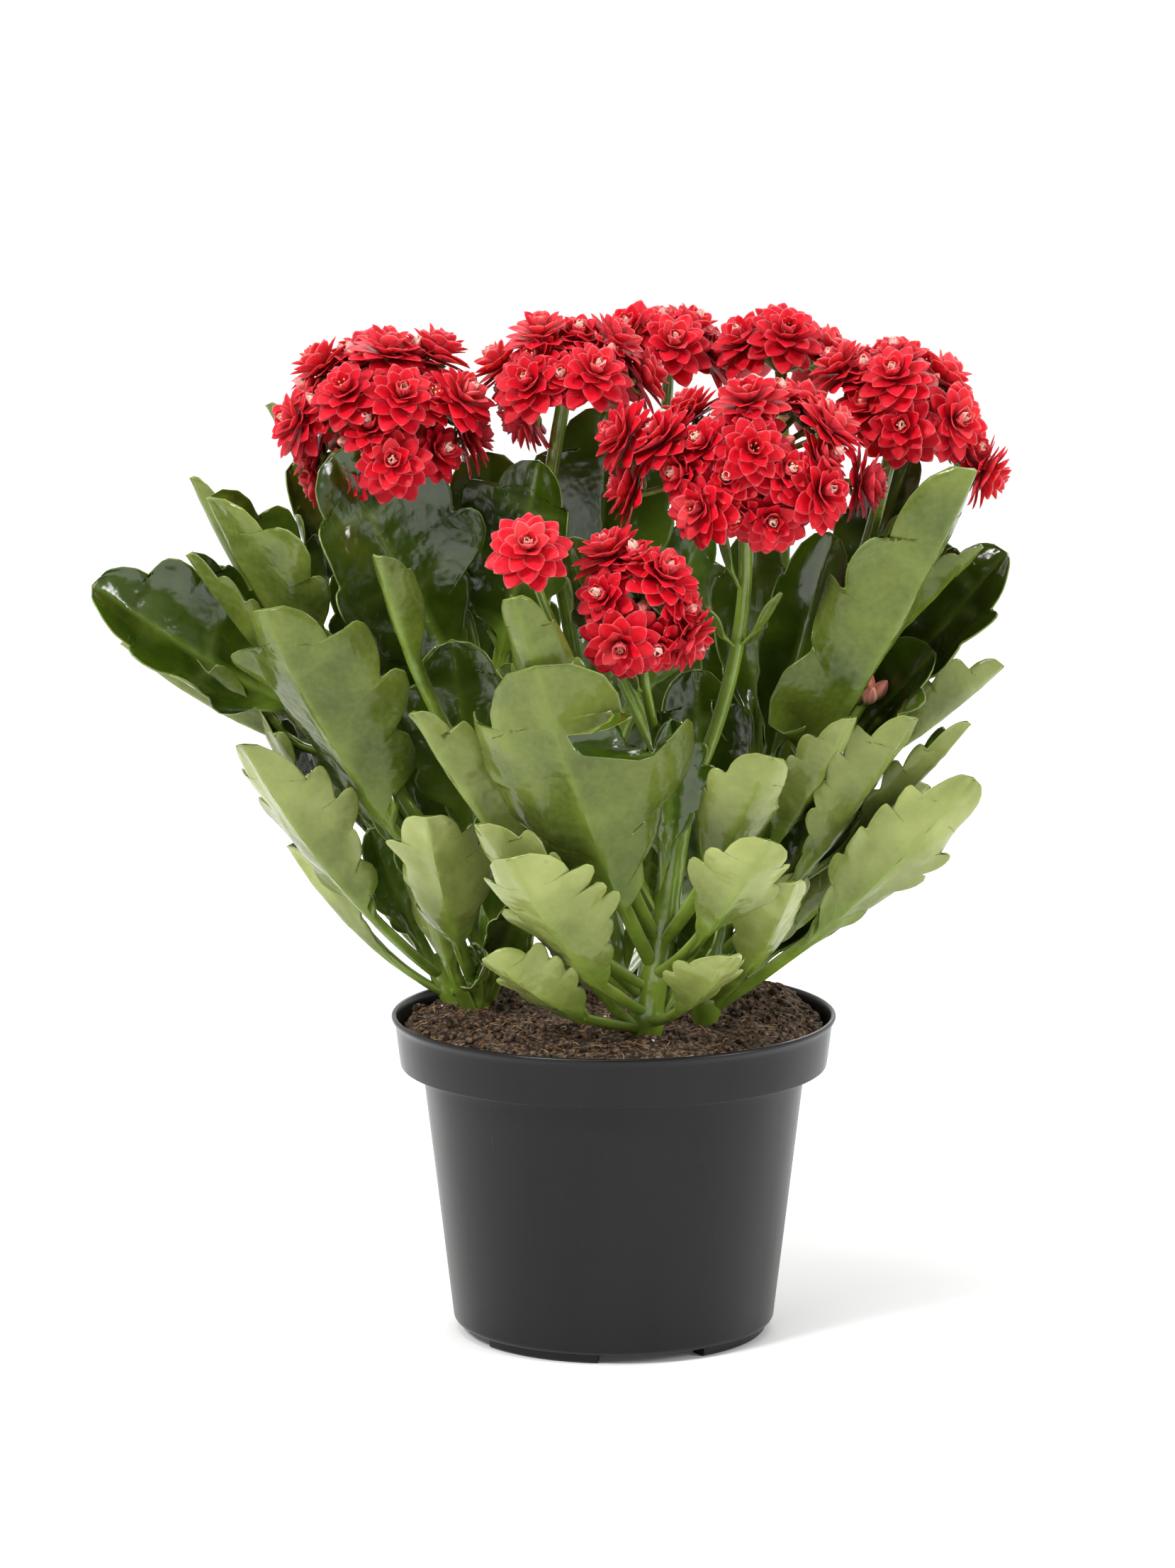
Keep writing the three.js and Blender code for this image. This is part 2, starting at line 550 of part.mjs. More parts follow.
// One floret: a stalk from the hub, an outer and an inner layer of pointed petals, and a closed centre
function floretSolid(hub, centre, seed) {
  const axis = centre.clone().sub(hub);
  const length = axis.length();
  const turn = new THREE.Quaternion().setFromUnitVectors(new THREE.Vector3(0, 0, 1), axis.normalize());
  const points = [];
  const triangles = [];
  const spin = draw(seed, 1) * Math.PI * 2;
  const add = (radius, angle, height) => {
    const point = new THREE.Vector3(radius * Math.cos(angle), radius * Math.sin(angle), height);
    points.push(point.applyQuaternion(turn).add(centre));
    return { at: angle, index: points.length - 1 };
  };
  const closed = (loop) => [...loop, { at: loop[0].at + Math.PI * 2, index: loop[0].index }];
  const ring = ({ radius, height }) => closed(Array.from(
    { length: NECK_SIDES },
    (_, i) => add(radius, spin + (i / NECK_SIDES) * Math.PI * 2, height),
  ));
  const petals = (layer) => {
    const pitch = (Math.PI * 2) / layer.petals;
    const [notchHeight, shoulderHeight, tipHeight] = layer.heights;
    const radius = FLORET_RADIUS * layer.reach;
    const loop = [];
    for (let i = 0; i < layer.petals; i += 1) {
      const angle = spin + i * pitch;
      const reach = radius * (0.95 + 0.1 * draw(seed, i + layer.petals));
      const droop = PETAL_DROOP * (draw(seed, i + 3 * layer.petals) - 0.5);
      const shoulder = (share) => (
        add(reach * layer.shoulder, angle + pitch * share, shoulderHeight + droop / 2)
      );
      loop.push(add(radius * layer.notch, angle, notchHeight));
      if (layer.shoulder) loop.push(shoulder(0.16));
      loop.push(add(reach, angle + pitch * 0.5, tipHeight + droop));
      if (layer.shoulder) loop.push(shoulder(0.84));
    }
    return closed(loop);
  };
  const neck = ring(NECK);
  const outer = petals(OUTER_LAYER);
  const waist = ring(WAIST);
  const inner = petals(INNER_LAYER);
  const throat = ring(THROAT);
  const bottom = add(0, 0, -length);
  const top = add(0, 0, FLORET_TOP);
  const pole = (end, loop) => loop.map((spot) => ({ at: spot.at, index: end.index }));
  stitch(triangles, pole(bottom, neck), neck, true);
  stitch(triangles, neck, outer, true);
  stitch(triangles, waist, outer, false);
  stitch(triangles, waist, inner, true);
  stitch(triangles, throat, inner, false);
  stitch(triangles, pole(top, throat), throat, false);
  return solidFrom(points, triangles);
}

function coreSolid(hub, radii, grow) {
  const geometry = new THREE.IcosahedronGeometry(1, 0);
  geometry.scale(radii[0] + grow, radii[1] + grow, radii[2] + grow);
  geometry.translate(hub[0], hub[1], hub[2]);
  return solidOf(geometry);
}

function headSolid(name, seed) {
  const head = HEADS[name];
  const hub = vec(head.hub);
  const florets = head.florets.map((centre, i) => floretSolid(hub, vec(centre), seed * 20 + i));
  return joined([coreSolid(head.hub, head.core, 0), ...florets]);
}

// The buds stand round a short hub, each a slim closed bud that points up and out
function budSolid() {
  const hub = vec(BUDS.hub);
  const buds = BUDS.tips.map((tip) => {
    const geometry = new THREE.IcosahedronGeometry(1, 0);
    geometry.scale(BUDS.radius, BUDS.radius, BUDS.length / 2);
    const axis = vec(tip).sub(hub).normalize();
    geometry.applyQuaternion(new THREE.Quaternion().setFromUnitVectors(new THREE.Vector3(0, 0, 1), axis));
    const middle = vec(tip).addScaledVector(axis, -BUDS.length / 2);
    geometry.translate(middle.x, middle.y, middle.z);
    return solidOf(geometry);
  });
  return joined([coreSolid(BUDS.hub, BUDS.core, 0), ...buds]);
}

// Pot: a lathed shell with a ledge under its lip, four foot arcs and a ring of drain holes
const ledge = POT_HEIGHT - LIP_HEIGHT;
const floorTop = FOOT_HEIGHT + WALL;

function footSolid(start) {
  const outline = new THREE.Shape();
  const end = start + radians(FOOT_SPAN);
  outline.absarc(0, 0, FOOT_OUTER, start, end, false);
  outline.absarc(0, 0, FOOT_INNER, end, start, true);
  outline.closePath();
  return solidOf(new THREE.ExtrudeGeometry(outline, {
    depth: FOOT_HEIGHT + WALL / 2,
    bevelEnabled: false,
    curveSegments: FOOT_STEPS,
  }));
}

function drillSolid(angle) {
  const drill = new THREE.CylinderGeometry(DRAIN_RADIUS, DRAIN_RADIUS, 4 * floorTop, DRAIN_SIDES);
  drill.rotateX(Math.PI / 2);
  drill.translate(DRAIN_RING * Math.cos(angle), DRAIN_RING * Math.sin(angle), floorTop);
  return solidOf(drill);
}

function potSolid() {
  const outside = [
    [0, 0],
    [CENTRE_DISC, 0],
    [CENTRE_DISC + CORNER, FOOT_HEIGHT],
    [BODY_BOTTOM_RADIUS - CORNER, FOOT_HEIGHT],
    [BODY_BOTTOM_RADIUS, FOOT_HEIGHT + CORNER],
    [BODY_TOP_RADIUS, ledge],
    [LIP_BOTTOM_RADIUS, ledge],
    [RIM_RADIUS - 1, POT_HEIGHT - RIM_EDGE],
    [RIM_RADIUS, POT_HEIGHT - WALL],
    [RIM_RADIUS, POT_HEIGHT],
  ];
  const inside = [
    [RIM_RADIUS - RIM_EDGE, POT_HEIGHT],
    [LIP_BOTTOM_RADIUS - WALL, ledge + WALL],
    [BODY_TOP_RADIUS - WALL, ledge + WALL / 2],
    [BODY_BOTTOM_RADIUS - WALL, floorTop + CORNER],
    [BODY_BOTTOM_RADIUS - WALL - CORNER, floorTop],
    [0, floorTop],
  ];
  const profile = [...outside, ...inside].map(([radius, height]) => new THREE.Vector2(radius, height));
  const shell = new THREE.LatheGeometry(profile, POT_SIDES);
  shell.rotateX(Math.PI / 2);
  const around = (count, start = 0) => (
    Array.from({ length: count }, (_, i) => start + (i / count) * Math.PI * 2)
  );
  const feet = around(FEET, radians(FOOT_START)).map(footSolid);
  const drills = around(DRAIN_HOLES).map(drillSolid);
  return oneBody(wasm.Manifold.union([solidOf(shell), ...feet]).subtract(wasm.Manifold.union(drills)));
}

// Height of the soil: nearly level, heaped up at the back right, lower at the pot and uneven all over
function soilTop(x, y) {
  const away = ((x - SOIL_HEAP.x) ** 2 + (y - SOIL_HEAP.y) ** 2) / (2 * SOIL_HEAP.spread ** 2);
  const heap = SOIL_HEAP.height * Math.exp(-away);
  const ripple = Math.sin(x * 0.31 + 1) * Math.cos(y * 0.27) + 0.7 * Math.sin(x * 0.13 - y * 0.19);
  const edge = Math.max(0, 5 * Math.hypot(x, y) / SOIL_RADIUS - 4);
  return SOIL_LEVEL + heap + SOIL_RIPPLE * ripple - SOIL_EDGE_DIP * edge;
}

// Soil: it fills the pot with a small clearance, and the stems stand in plain holes in it
function soilSolid() {
  const inside = (radius) => (radius - WALL) * Math.cos(Math.PI / POT_SIDES) - GAP;
  const walls = [
    [inside(BODY_BOTTOM_RADIUS - CORNER), floorTop + GAP],
    [inside(BODY_BOTTOM_RADIUS), floorTop + CORNER],
    [inside(BODY_TOP_RADIUS), ledge + WALL / 2],
    [inside(LIP_BOTTOM_RADIUS) - GAP, ledge + WALL + GAP],
  ];
  const tops = [1, 0.85, 0.65, 0.44, 0.2].map((share) => [SOIL_RADIUS * share, null]);
  const points = [];
  const triangles = [];
  const rings = [[0, floorTop + GAP], ...walls, ...tops, [0, null]].map(([radius, height]) => {
    const loop = [];
    for (let i = 0; i < SOIL_SECTORS; i += 1) {
      const angle = (i / SOIL_SECTORS) * Math.PI * 2;
      const x = radius * Math.cos(angle);
      const y = radius * Math.sin(angle);
      if (radius > 0 || i === 0) points.push(new THREE.Vector3(x, y, height ?? soilTop(x, y)));
      loop.push({ at: angle, index: points.length - 1 });
    }
    return [...loop, { at: Math.PI * 2, index: loop[0].index }];
  });
  for (let k = 0; k + 1 < rings.length; k += 1) stitch(triangles, rings[k], rings[k + 1], true);
  const holes = Object.keys(AXES).filter((name) => AXES[name].points[0][2] < ledge);
  return oneBody(solidFrom(points, triangles).subtract(
    wasm.Manifold.union(holes.map((name) => axisSolid(name, GAP))),
  ));
}

// One leafy stem: its shoots and stalks with their leaves. The stalks end just under the hearts of the heads.
function stemSolid(nodeName) {
  const axes = Object.keys(AXES).filter((name) => AXES[name].node === nodeName);
  const blades = leaves.filter((leaf) => AXES[leaf.axis].node === nodeName).map(leafSolid);
  const cores = [...Object.values(HEADS), BUDS].map((head) => coreSolid(head.hub, head.core, GAP));
  return oneBody(wasm.Manifold.union([...axes.map((name) => axisSolid(name)), ...blades]).subtract(
    wasm.Manifold.union(cores),
  ));
}

const POT_GREY = 0x33363a;
const PEAT_BROWN = 0x3b2a20;
const LEAF_GREEN = 0x4f7a2c;
const PETAL_RED = 0xd2283a;
const BUD_PINK = 0xa8746a;

const group = new THREE.Group();
group.add(meshOf('pot', potSolid(), POT_GREY, 0.45));
group.add(meshOf('soil', soilSolid(), PEAT_BROWN, 0.95));
for (const name of new Set(Object.values(AXES).map((axis) => axis.node))) {
  group.add(meshOf(name, stemSolid(name), LEAF_GREEN, 0.5));
}
Object.keys(HEADS).forEach((name, i) => group.add(meshOf(name, headSolid(name, i), PETAL_RED, 0.6)));
group.add(meshOf('bud_cluster', budSolid(), BUD_PINK, 0.6));

export default group;
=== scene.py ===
# Looks of a potted kalanchoe with double red flowers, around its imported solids.
# Shapes are worked out in millimetres, in the part's own frame, and scaled to metres when a mesh is made.
import itertools
import math
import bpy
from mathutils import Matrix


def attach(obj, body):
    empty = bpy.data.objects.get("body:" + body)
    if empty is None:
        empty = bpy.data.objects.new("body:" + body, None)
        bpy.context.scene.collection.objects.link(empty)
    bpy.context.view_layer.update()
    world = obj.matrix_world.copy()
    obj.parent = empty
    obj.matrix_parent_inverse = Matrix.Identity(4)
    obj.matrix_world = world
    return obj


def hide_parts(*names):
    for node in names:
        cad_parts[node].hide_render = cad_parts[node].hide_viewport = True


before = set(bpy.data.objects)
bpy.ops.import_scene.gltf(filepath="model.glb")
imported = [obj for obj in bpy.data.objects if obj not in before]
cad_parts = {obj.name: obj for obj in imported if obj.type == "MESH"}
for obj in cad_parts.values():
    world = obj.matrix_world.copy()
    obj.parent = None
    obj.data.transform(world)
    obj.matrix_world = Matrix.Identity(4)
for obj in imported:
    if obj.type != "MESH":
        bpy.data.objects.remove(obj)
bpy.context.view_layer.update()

from types import SimpleNamespace

import bpy
import numpy as np

MM = 0.001
BODY = "root"
TAU = 2 * math.pi

# Factors that turn numbers into a repeatable draw
HASH_WAVES = (12.9898, 78.233, 37.719)
HASH_SCALE = 43758.5453

# Driving dimensions of the pot
POT_HEIGHT = 87
RIM_RADIUS = 60
LIP_BOTTOM_RADIUS = 57.6
LIP_HEIGHT = 14
BODY_TOP_RADIUS = 52
BODY_BOTTOM_RADIUS = 43.5
WALL = 1.2
CORNER = 2
CENTRE_DISC = 12
FEET = 4
FOOT_HEIGHT = 2.4
FOOT_OUTER = 41.2
FOOT_INNER = 36
FOOT_SPAN = 48
FOOT_START = -144
DRAIN_HOLES = 6
DRAIN_RADIUS = 3.5
DRAIN_RING = 28
LEDGE = POT_HEIGHT - LIP_HEIGHT
FLOOR_TOP = FOOT_HEIGHT + WALL
POT_SECTORS = 128
POT_SHARP_ANGLE = 38

# Driving dimensions of the soil
SOIL_LEVEL = 86
SOIL_RADIUS = 56.4
SOIL_HEAP = SimpleNamespace(height=5, x=34, y=36, spread=16)
SOIL_EDGE_DIP = 2
SOIL_RIPPLE = 0.8

# Leaf form, as in the solids
PETIOLE_HALF_WIDTH = 2.1
END_LOBE = 0.21 * math.pi
LOBED_REACH = 0.8 * math.pi
LOBE_SLANT = 0.05

# Axes of the plant: stems, side shoots and flower stalks, each with its node, radius and points
AXES = {
    "left": ("stem_left", 3.0, [[-38, 18, 66], [-37, 17, 90], [-34, 13, 130], [-35, 10, 165]]),
    "leftShoot": ("stem_left", 2.4, [[-36, 15, 102], [-48, 10, 128], [-66, 4, 160]]),
    "leftLow": ("stem_left", 2.6, [[-38, 18, 70], [-43, 20, 84], [-50, 22, 98]]),
    "stalkA": ("stem_left", 1.9, [[-35, 10, 160], [-40, 10, 195], [-52, 7, 218], [-60, 3, 240]]),
    "front": ("stem_front", 3.5, [[9, -25, 66], [9, -26, 90], [13, -28, 116], [18, -28, 150]]),
    "stalkF": ("stem_front", 1.9, [[17, -28, 145], [28, -24, 172], [34, -22, 200], [35, -24, 236]]),
    "stalkG": ("stem_front", 1.4, [[14, -28, 132], [12, -36, 162], [8, -44, 185], [7, -48, 202]]),
    "stalkH": ("stem_front", 1.2, [[13, -34, 150], [-4, -44, 178], [-17, -54, 204], [-22, -58, 218]]),
    "right": ("stem_right", 3.0, [[23.6, -6.3, 66], [25, -6, 90], [31, -4, 120], [42, -2, 148]]),
    "stalkE": ("stem_right", 1.9, [[41, -2, 145], [54, 0, 180], [67, 1, 212], [75, 0, 244]]),
    "stalkD": ("stem_right", 1.6, [[42, -2, 146], [45, 10, 185], [46, 18, 225], [45, 22, 258]]),
    "stalkBuds": ("stem_right", 1.3, [[38, -3, 138], [50, -8, 151], [60, -10, 162], [67, -9, 174]]),
    "back": ("stem_back", 3.0, [[2, 26, 66], [1, 26, 90], [-3, 25, 125], [-6, 22, 155]]),
    "stalkB": ("stem_back", 1.9, [[-6, 22, 152], [-12, 15, 190], [-17, 6, 225], [-13, 3, 255]]),
    "stalkC": ("stem_back", 1.6, [[-5, 23, 150], [6, 31, 190], [13, 37, 228], [15, 31, 262]]),
}

# Leaves: axis, share of the way up it, then
# tip x, y, z | direction the upper side looks | width | petiole share | belly | fold | cup | lobes | depth
LEAVES = [
    ["leftShoot", 1.0, -138, -8, 205, 0.25, -0.75, 0.6, 50, 0.25, 5, 10, 50, 3, 0.3],
    ["leftShoot", 0.9, -132, 8, 187, 0.2, 0.3, 0.9, 30, 0.25, 5, 20, 40, 3, 0.3],
    ["leftShoot", 0.92, -113, -8, 213, 0.6, -0.2, 0.8, 23, 0.4, 3, 45, 30, 3, 0.3],
    ["leftShoot", 0.84, -107, -14, 229, 0.65, -0.05, 0.75, 60, 0.25, 3, 30, 50, 3, 0.3],
    ["leftShoot", 0.65, -113, 12, 231, 0.5, 0.4, 0.8, 25, 0.35, 4, 30, 30, 2, 0.22],
    ["left", 0.86, -86, 20, 234, 0.3, -0.8, 0.5, 42, 0.4, 3, 10, 40, 3, 0.3],
    ["left", 0.93, -94, 43, 247, 0.9, 0.2, 0.3, 21, 0.5, 2, 35, 40, 2, 0.22],
    ["left", 1.0, -74, -17, 241, 0.2, -0.9, 0.3, 57, 0.15, 0, 8, 40, 3, 0.33],
    ["left", 0.95, -20, 0, 237, -0.2, -0.9, 0.3, 44, 0.3, 0, 10, 40, 3, 0.33],
    ["left", 0.8, -34, 26, 236, 0, -0.9, 0.3, 39, 0.4, 0, 10, 40, 3, 0.3],
    ["leftShoot", 0.25, -92, -32, 202, 0.4, 0.75, 0.5, 60, 0.3, 6, 8, 60, 3, 0.38],
    ["leftLow", 0.8, -98, -20, 164, 0.5, 0.7, 0.5, 41, 0.3, 5, 8, 50, 4, 0.33],
    ["leftLow", 0.62, -88, 16, 130, 0.75, 0.1, 0.6, 25, 0.3, 4, 20, 40, 3, 0.22],
    ["leftLow", 1.0, -97, 2, 172, 0.7, -0.2, 0.6, 25, 0.4, 4, 15, 40, 3, 0.3],
    ["left", 0.34, -49, -40, 148, 0.1, 0.85, 0.45, 38, 0.35, 6, 8, 60, 4, 0.3],
    ["leftLow", 0.68, -35, -10, 104, -0.9, -0.4, 0.3, 17, 0.3, 3, 15, 40, 3, 0.3],
    ["left", 0.5, -43, -12, 190, 0, -0.9, 0.4, 46, 0.3, 4, 8, 40, 3, 0.3],
    ["left", 0.82, -61, -45, 218, 0.3, 0.7, 0.6, 21, 0.6, 6, 25, 50, 2, 0.15],
    ["front", 0.4, -52, -45, 177, 0.5, 0.6, 0.6, 28, 0.35, 5, 45, 30, 4, 0.27],
    ["front", 0.45, -35, -55, 149, 0.3, 0.6, 0.7, 30, 0.3, 5, 10, 40, 4, 0.22],
    ["front", 0.52, -20, -70, 193, 0.05, 0.8, 0.5, 76, 0.24, 7.5, 5, 50, 3, 0.46],
    ["front", 0.36, -27, -70, 143, 0.3, 0.8, 0.5, 44, 0.3, 6, 10, 50, 5, 0.33],
    ["front", 0.31, -33, -50, 113, 0.3, 0.7, 0.6, 30, 0.35, 5, 10, 50, 4, 0.3],
    ["front", 0.5, 40, -73, 148, 0, 0.7, 0.7, 32, 0.4, 6, 10, 60, 3, 0.3],
    ["front", 0.33, 30, -58, 115, -0.1, 0.4, 0.9, 28, 0.35, 4, 10, 40, 3, 0.3],
    ["front", 0.6, -26, -72, 211, 0.1, 0.7, 0.6, 26, 0.5, 4, 15, 60, 3, 0.22],
    ["front", 1.0, -13, -38, 221, 0.3, -0.8, 0.4, 25, 0.5, 2, 15, 40, 3, 0.27],
    ["front", 0.68, -30, -44, 188, 0.1, -0.3, 0.9, 30, 0.4, -2, 15, 40, 3, 0.22],
    ["front", 0.6, 41, -62, 168, 0, 0.7, 0.6, 32, 0.4, 5, 15, 60, 3, 0.3],
    ["front", 0.7, 15, -40, 174, 0.4, -0.9, 0.2, 28, 0.3, 0, 15, 30, 4, 0.38],
    ["right", 0.88, 38, 2, 218, 0, -0.9, 0.3, 30, 0.3, 0, 15, 30, 3, 0.22],
    ["right", 0.36, 47, -55, 133, -0.3, 0.8, 0.5, 30, 0.4, 5, 15, 50, 3, 0.3],
    ["right", 0.31, 95, -25, 156, -0.4, 0.8, 0.45, 37, 0.35, 5, 6, 20, 5, 0.3],
    ["right", 0.4, 84, -2, 150, -0.6, 0.5, 0.6, 32, 0.3, 4, 15, 40, 4, 0.27],
    ["right", 0.48, 79, -30, 173, -0.6, 0.6, 0.5, 32, 0.35, 4, 15, 40, 5, 0.3],
    ["right", 0.7, 62, -36, 174, -0.4, 0.6, 0.6, 28, 0.3, 4, 20, 40, 4, 0.3],
    ["right", 0.75, 94, -42, 240, -0.5, 0.65, 0.45, 59, 0.22, 4, 30, 30, 3, 0.45],
    ["right", 1.0, 105, 2, 212, -0.5, -0.7, 0.5, 48, 0.35, 4, 10, 60, 3, 0.3],
    ["right", 0.92, 104, 1, 182, -0.3, 0.5, 0.8, 34, 0.4, 4, 15, 40, 3, 0.3],
    ["right", 0.95, 85, -10, 187, -0.4, -0.6, 0.7, 39, 0.35, 3, 10, 40, 3, 0.22],
    ["right", 0.56, 94, -22, 170, -0.7, 0.3, 0.6, 21, 0.4, 4, 30, 40, 4, 0.3],
    ["right", 0.8, 57, -17, 220, 0, -0.9, 0.3, 30, 0.3, 0, 15, 40, 3, 0.22],
    ["stalkE", 0.12, 80, 20, 236, -0.3, -0.8, 0.4, 28, 0.4, 2, 15, 40, 3, 0.22],
    ["stalkE", 0.25, 97, -10, 216, -0.8, 0.3, 0.4, 21, 0.5, 2, 25, 40, 3, 0.22],
    ["back", 0.92, -2, 20, 249, 0, -0.9, 0.3, 48, 0.35, 0, 8, 40, 3, 0.22],
    ["left", 0.32, -62, 2, 172, 0.3, -0.8, 0.5, 40, 0.3, 3, 10, 40, 3, 0.3],
    ["left", 0.22, -20, -6, 150, 0.1, -0.85, 0.5, 34, 0.3, 3, 10, 40, 3, 0.3],
    ["right", 0.36, 22, 4, 180, 0, -0.9, 0.3, 40, 0.3, 3, 10, 40, 3, 0.3],
    ["right", 0.32, 66, 6, 160, -0.2, -0.8, 0.5, 36, 0.3, 3, 10, 40, 3, 0.3],
]

# Leaves on the side away from the viewer: axis, share, turn, spread, count, reach, height of the tips, width
BACK_TIERS = [
    ("back", 0.44, 92, 116, 4, 66, 136, 42),
    ("back", 0.72, 88, 100, 3, 50, 200, 48),
    ("left", 0.62, 130, 56, 2, 60, 188, 44),
    ("right", 0.62, 54, 36, 2, 58, 190, 46),
]

# Small leaves low among the petioles: the values of a leaf row up to its fold, and those they share
SMALL_LEAVES = [
    ["leftLow", 0.6, -66, 7, 136, 0.3, -0.8, 0.4, 24, 0.3, 3, 15],
    ["left", 0.2, -52, 2, 128, 0.2, 0.8, 0.5, 21, 0.35, 3, 15],
    ["left", 0.16, -25, -4, 118, 0.1, -0.8, 0.5, 20, 0.35, 3, 15],
    ["front", 0.27, -15, -36, 119, 0.2, 0.7, 0.6, 18, 0.4, 3, 15],
    ["front", 0.3, 26, -38, 124, -0.2, -0.7, 0.6, 18, 0.4, 3, 15],
    ["right", 0.3, 50, -16, 128, -0.2, 0.75, 0.5, 22, 0.35, 3, 15],
    ["right", 0.3, 64, 2, 130, -0.3, -0.8, 0.4, 23, 0.35, 3, 15],
    ["right", 0.45, 60, -12, 150, -0.3, -0.7, 0.5, 22, 0.35, 3, 15],
    ["back", 0.3, -16, 10, 128, 0.1, -0.8, 0.5, 22, 0.35, 3, 15],
    ["back", 0.34, 10, 6, 132, -0.1, -0.8, 0.5, 22, 0.35, 3, 15],
    ["left", 0.6, -74, 8, 206, 0.2, -0.85, 0.4, 30, 0.35, 2, 10],
    ["back", 0.85, 24, 14, 218, 0, -0.9, 0.3, 34, 0.35, 0, 10],
    ["right", 0.7, 38, 14, 204, 0, -0.9, 0.3, 32, 0.35, 0, 10],
    ["right", 0.85, 70, 12, 208, -0.2, -0.9, 0.3, 34, 0.35, 0, 10],
]
SMALL_LEAF_FORM = [40, 3, 0.25]
SMALL_LEAF_SEED = 200

# Small bracts on the flower stalks: stalk, share, tip x, y, z, sideways look and width
BRACTS = [
    ["stalkF", 0.55, 24, -34, 203, 0.5, 5],
    ["stalkF", 0.55, 44, -32, 206, -0.5, 5],
    ["stalkF", 0.7, 27, -30, 226, 0.5, 4],
    ["stalkBuds", 0.6, 66, -14, 164, -0.5, 5],
    ["stalkBuds", 0.45, 48, -14, 163, 0.5, 5],
    ["stalkE", 0.7, 78, -5, 224, -0.5, 6],
    ["stalkG", 0.6, 4, -46, 188, 0.5, 4],
    ["stalkA", 0.6, -56, 4, 226, 0.5, 5],
    ["stalkB", 0.6, -22, 4, 226, 0.5, 5],
]
BRACT_FACE = [0.5, 0.7]
BRACT_FORM = [0.3, 1, 25, 20, 1, 0.06]

# Flower heads: stalk, hub, and the floret centres
HEADS = {
    "head_a": ("stalkA", [-60, 3, 242], [
        [-70, -15, 257], [-56, -18, 256], [-84, -5, 248], [-40, -10, 255], [-58, -19, 239], [-78, 3, 231],
        [-60, -5, 267], [-47, 3, 266], [-78, 4, 262], [-38, 0, 243], [-66, 14, 264], [-50, 18, 256],
        [-74, 18, 248], [-58, 22, 240]]),
    "head_b": ("stalkB", [-13, 3, 255], [
        [-22, -14, 259], [-5, -15, 262], [-19, -4, 271], [0, -2, 269], [8, 4, 259], [-24, 2, 248],
        [-30, 5, 262], [-14, 16, 264]]),
    "head_c": ("stalkC", [14, 29, 260], [[5, 22, 269], [16, 16, 266], [21, 27, 269], [11, 39, 266]]),
    "head_d": ("stalkD", [45, 23, 258], [
        [35, 16, 267], [46, 11, 269], [57, 21, 264], [40, 32, 264], [54, 36, 261]]),
    "head_e": ("stalkE", [76, 1, 246], [
        [60, -3, 262], [74, -15, 261], [90, -12, 249], [99, -2, 233], [76, -17, 248], [76, 13, 262],
        [88, 10, 258], [84, 18, 246]]),
    "head_f": ("stalkF", [35, -24, 238], [
        [12, -33, 247], [36, -44, 245], [35, -34, 257], [57, -32, 250], [54, -42, 234], [23, -42, 230],
        [41, -40, 227], [4, -27, 233], [66, -24, 234], [20, -16, 252], [50, -14, 253]]),
    "head_g": ("stalkG", [7, -47, 206], [[-1, -48, 219], [13, -56, 214], [2, -60, 197], [19, -52, 197]]),
    "head_h": ("stalkH", [-22, -58, 220], [[-22, -62, 222]]),
}

# Florets low between neighbouring heads
JOINING_FLORETS = {
    "head_b": [[-1, 12, 258]],
    "head_c": [[27, 27, 262]],
    "head_e": [[67, -12, 252]],
    "head_f": [[2, -28, 247]],
}

# Closed buds low on the right side: hub, and the tips of the buds
BUD_HUB = [67, -9, 172]
BUD_TIPS = [[68, -9, 182], [73, -8, 179], [69, -14, 178], [62, -11, 178], [63, -5, 178]]


def draw(a, b):
    """Repeatable draw between 0 and 1 for a pair of numbers."""
    wave = math.sin(a * HASH_WAVES[0] + b * HASH_WAVES[1]) * HASH_SCALE
    return wave - math.floor(wave)


def mix(a, b, share):
    return a + (b - a) * share


def smooth(value):
    """A soft step from 0 to 1."""
    value = np.clip(value, 0, 1)
    return value * value * (3 - 2 * value)


def unit(vector):
    return vector / np.maximum(np.linalg.norm(vector, axis=-1, keepdims=True), 1e-9)


def noise(points, size, seed=0):
    """Soft noise between -1 and 1 at each point, with features of that size."""
    place = points / size + seed * 17.3
    base = np.floor(place)
    part = smooth(place - base)
    total = np.zeros(len(points))
    for corner in itertools.product((0, 1), repeat=3):
        wave = np.sin((base + corner) @ np.array(HASH_WAVES)) * HASH_SCALE
        weight = np.prod(np.where(np.array(corner) == 1, part, 1 - part), axis=1)
        total += weight * (wave - np.floor(wave))
    return 2 * total - 1


def circle(count):
    """Angles of points spread evenly round a circle."""
    return np.arange(count) / count * TAU


def spun(points, angle):
    """The points turned by an angle about the Z axis."""
    x, y, z = np.moveaxis(points, -1, 0)
    cos, sin = math.cos(angle), math.sin(angle)
    return np.stack([x * cos - y * sin, x * sin + y * cos, z], -1)


def walk(step, angle):
    """How far out and how far up a chain of steps leads, from the angles at their ends."""
    middle = (angle[..., 1:] + angle[..., :-1]) / 2
    start = np.zeros(step.shape[:-1] + (1,))
    return [np.concatenate([start, np.cumsum(step * part(middle), -1)], -1) for part in (np.cos, np.sin)]


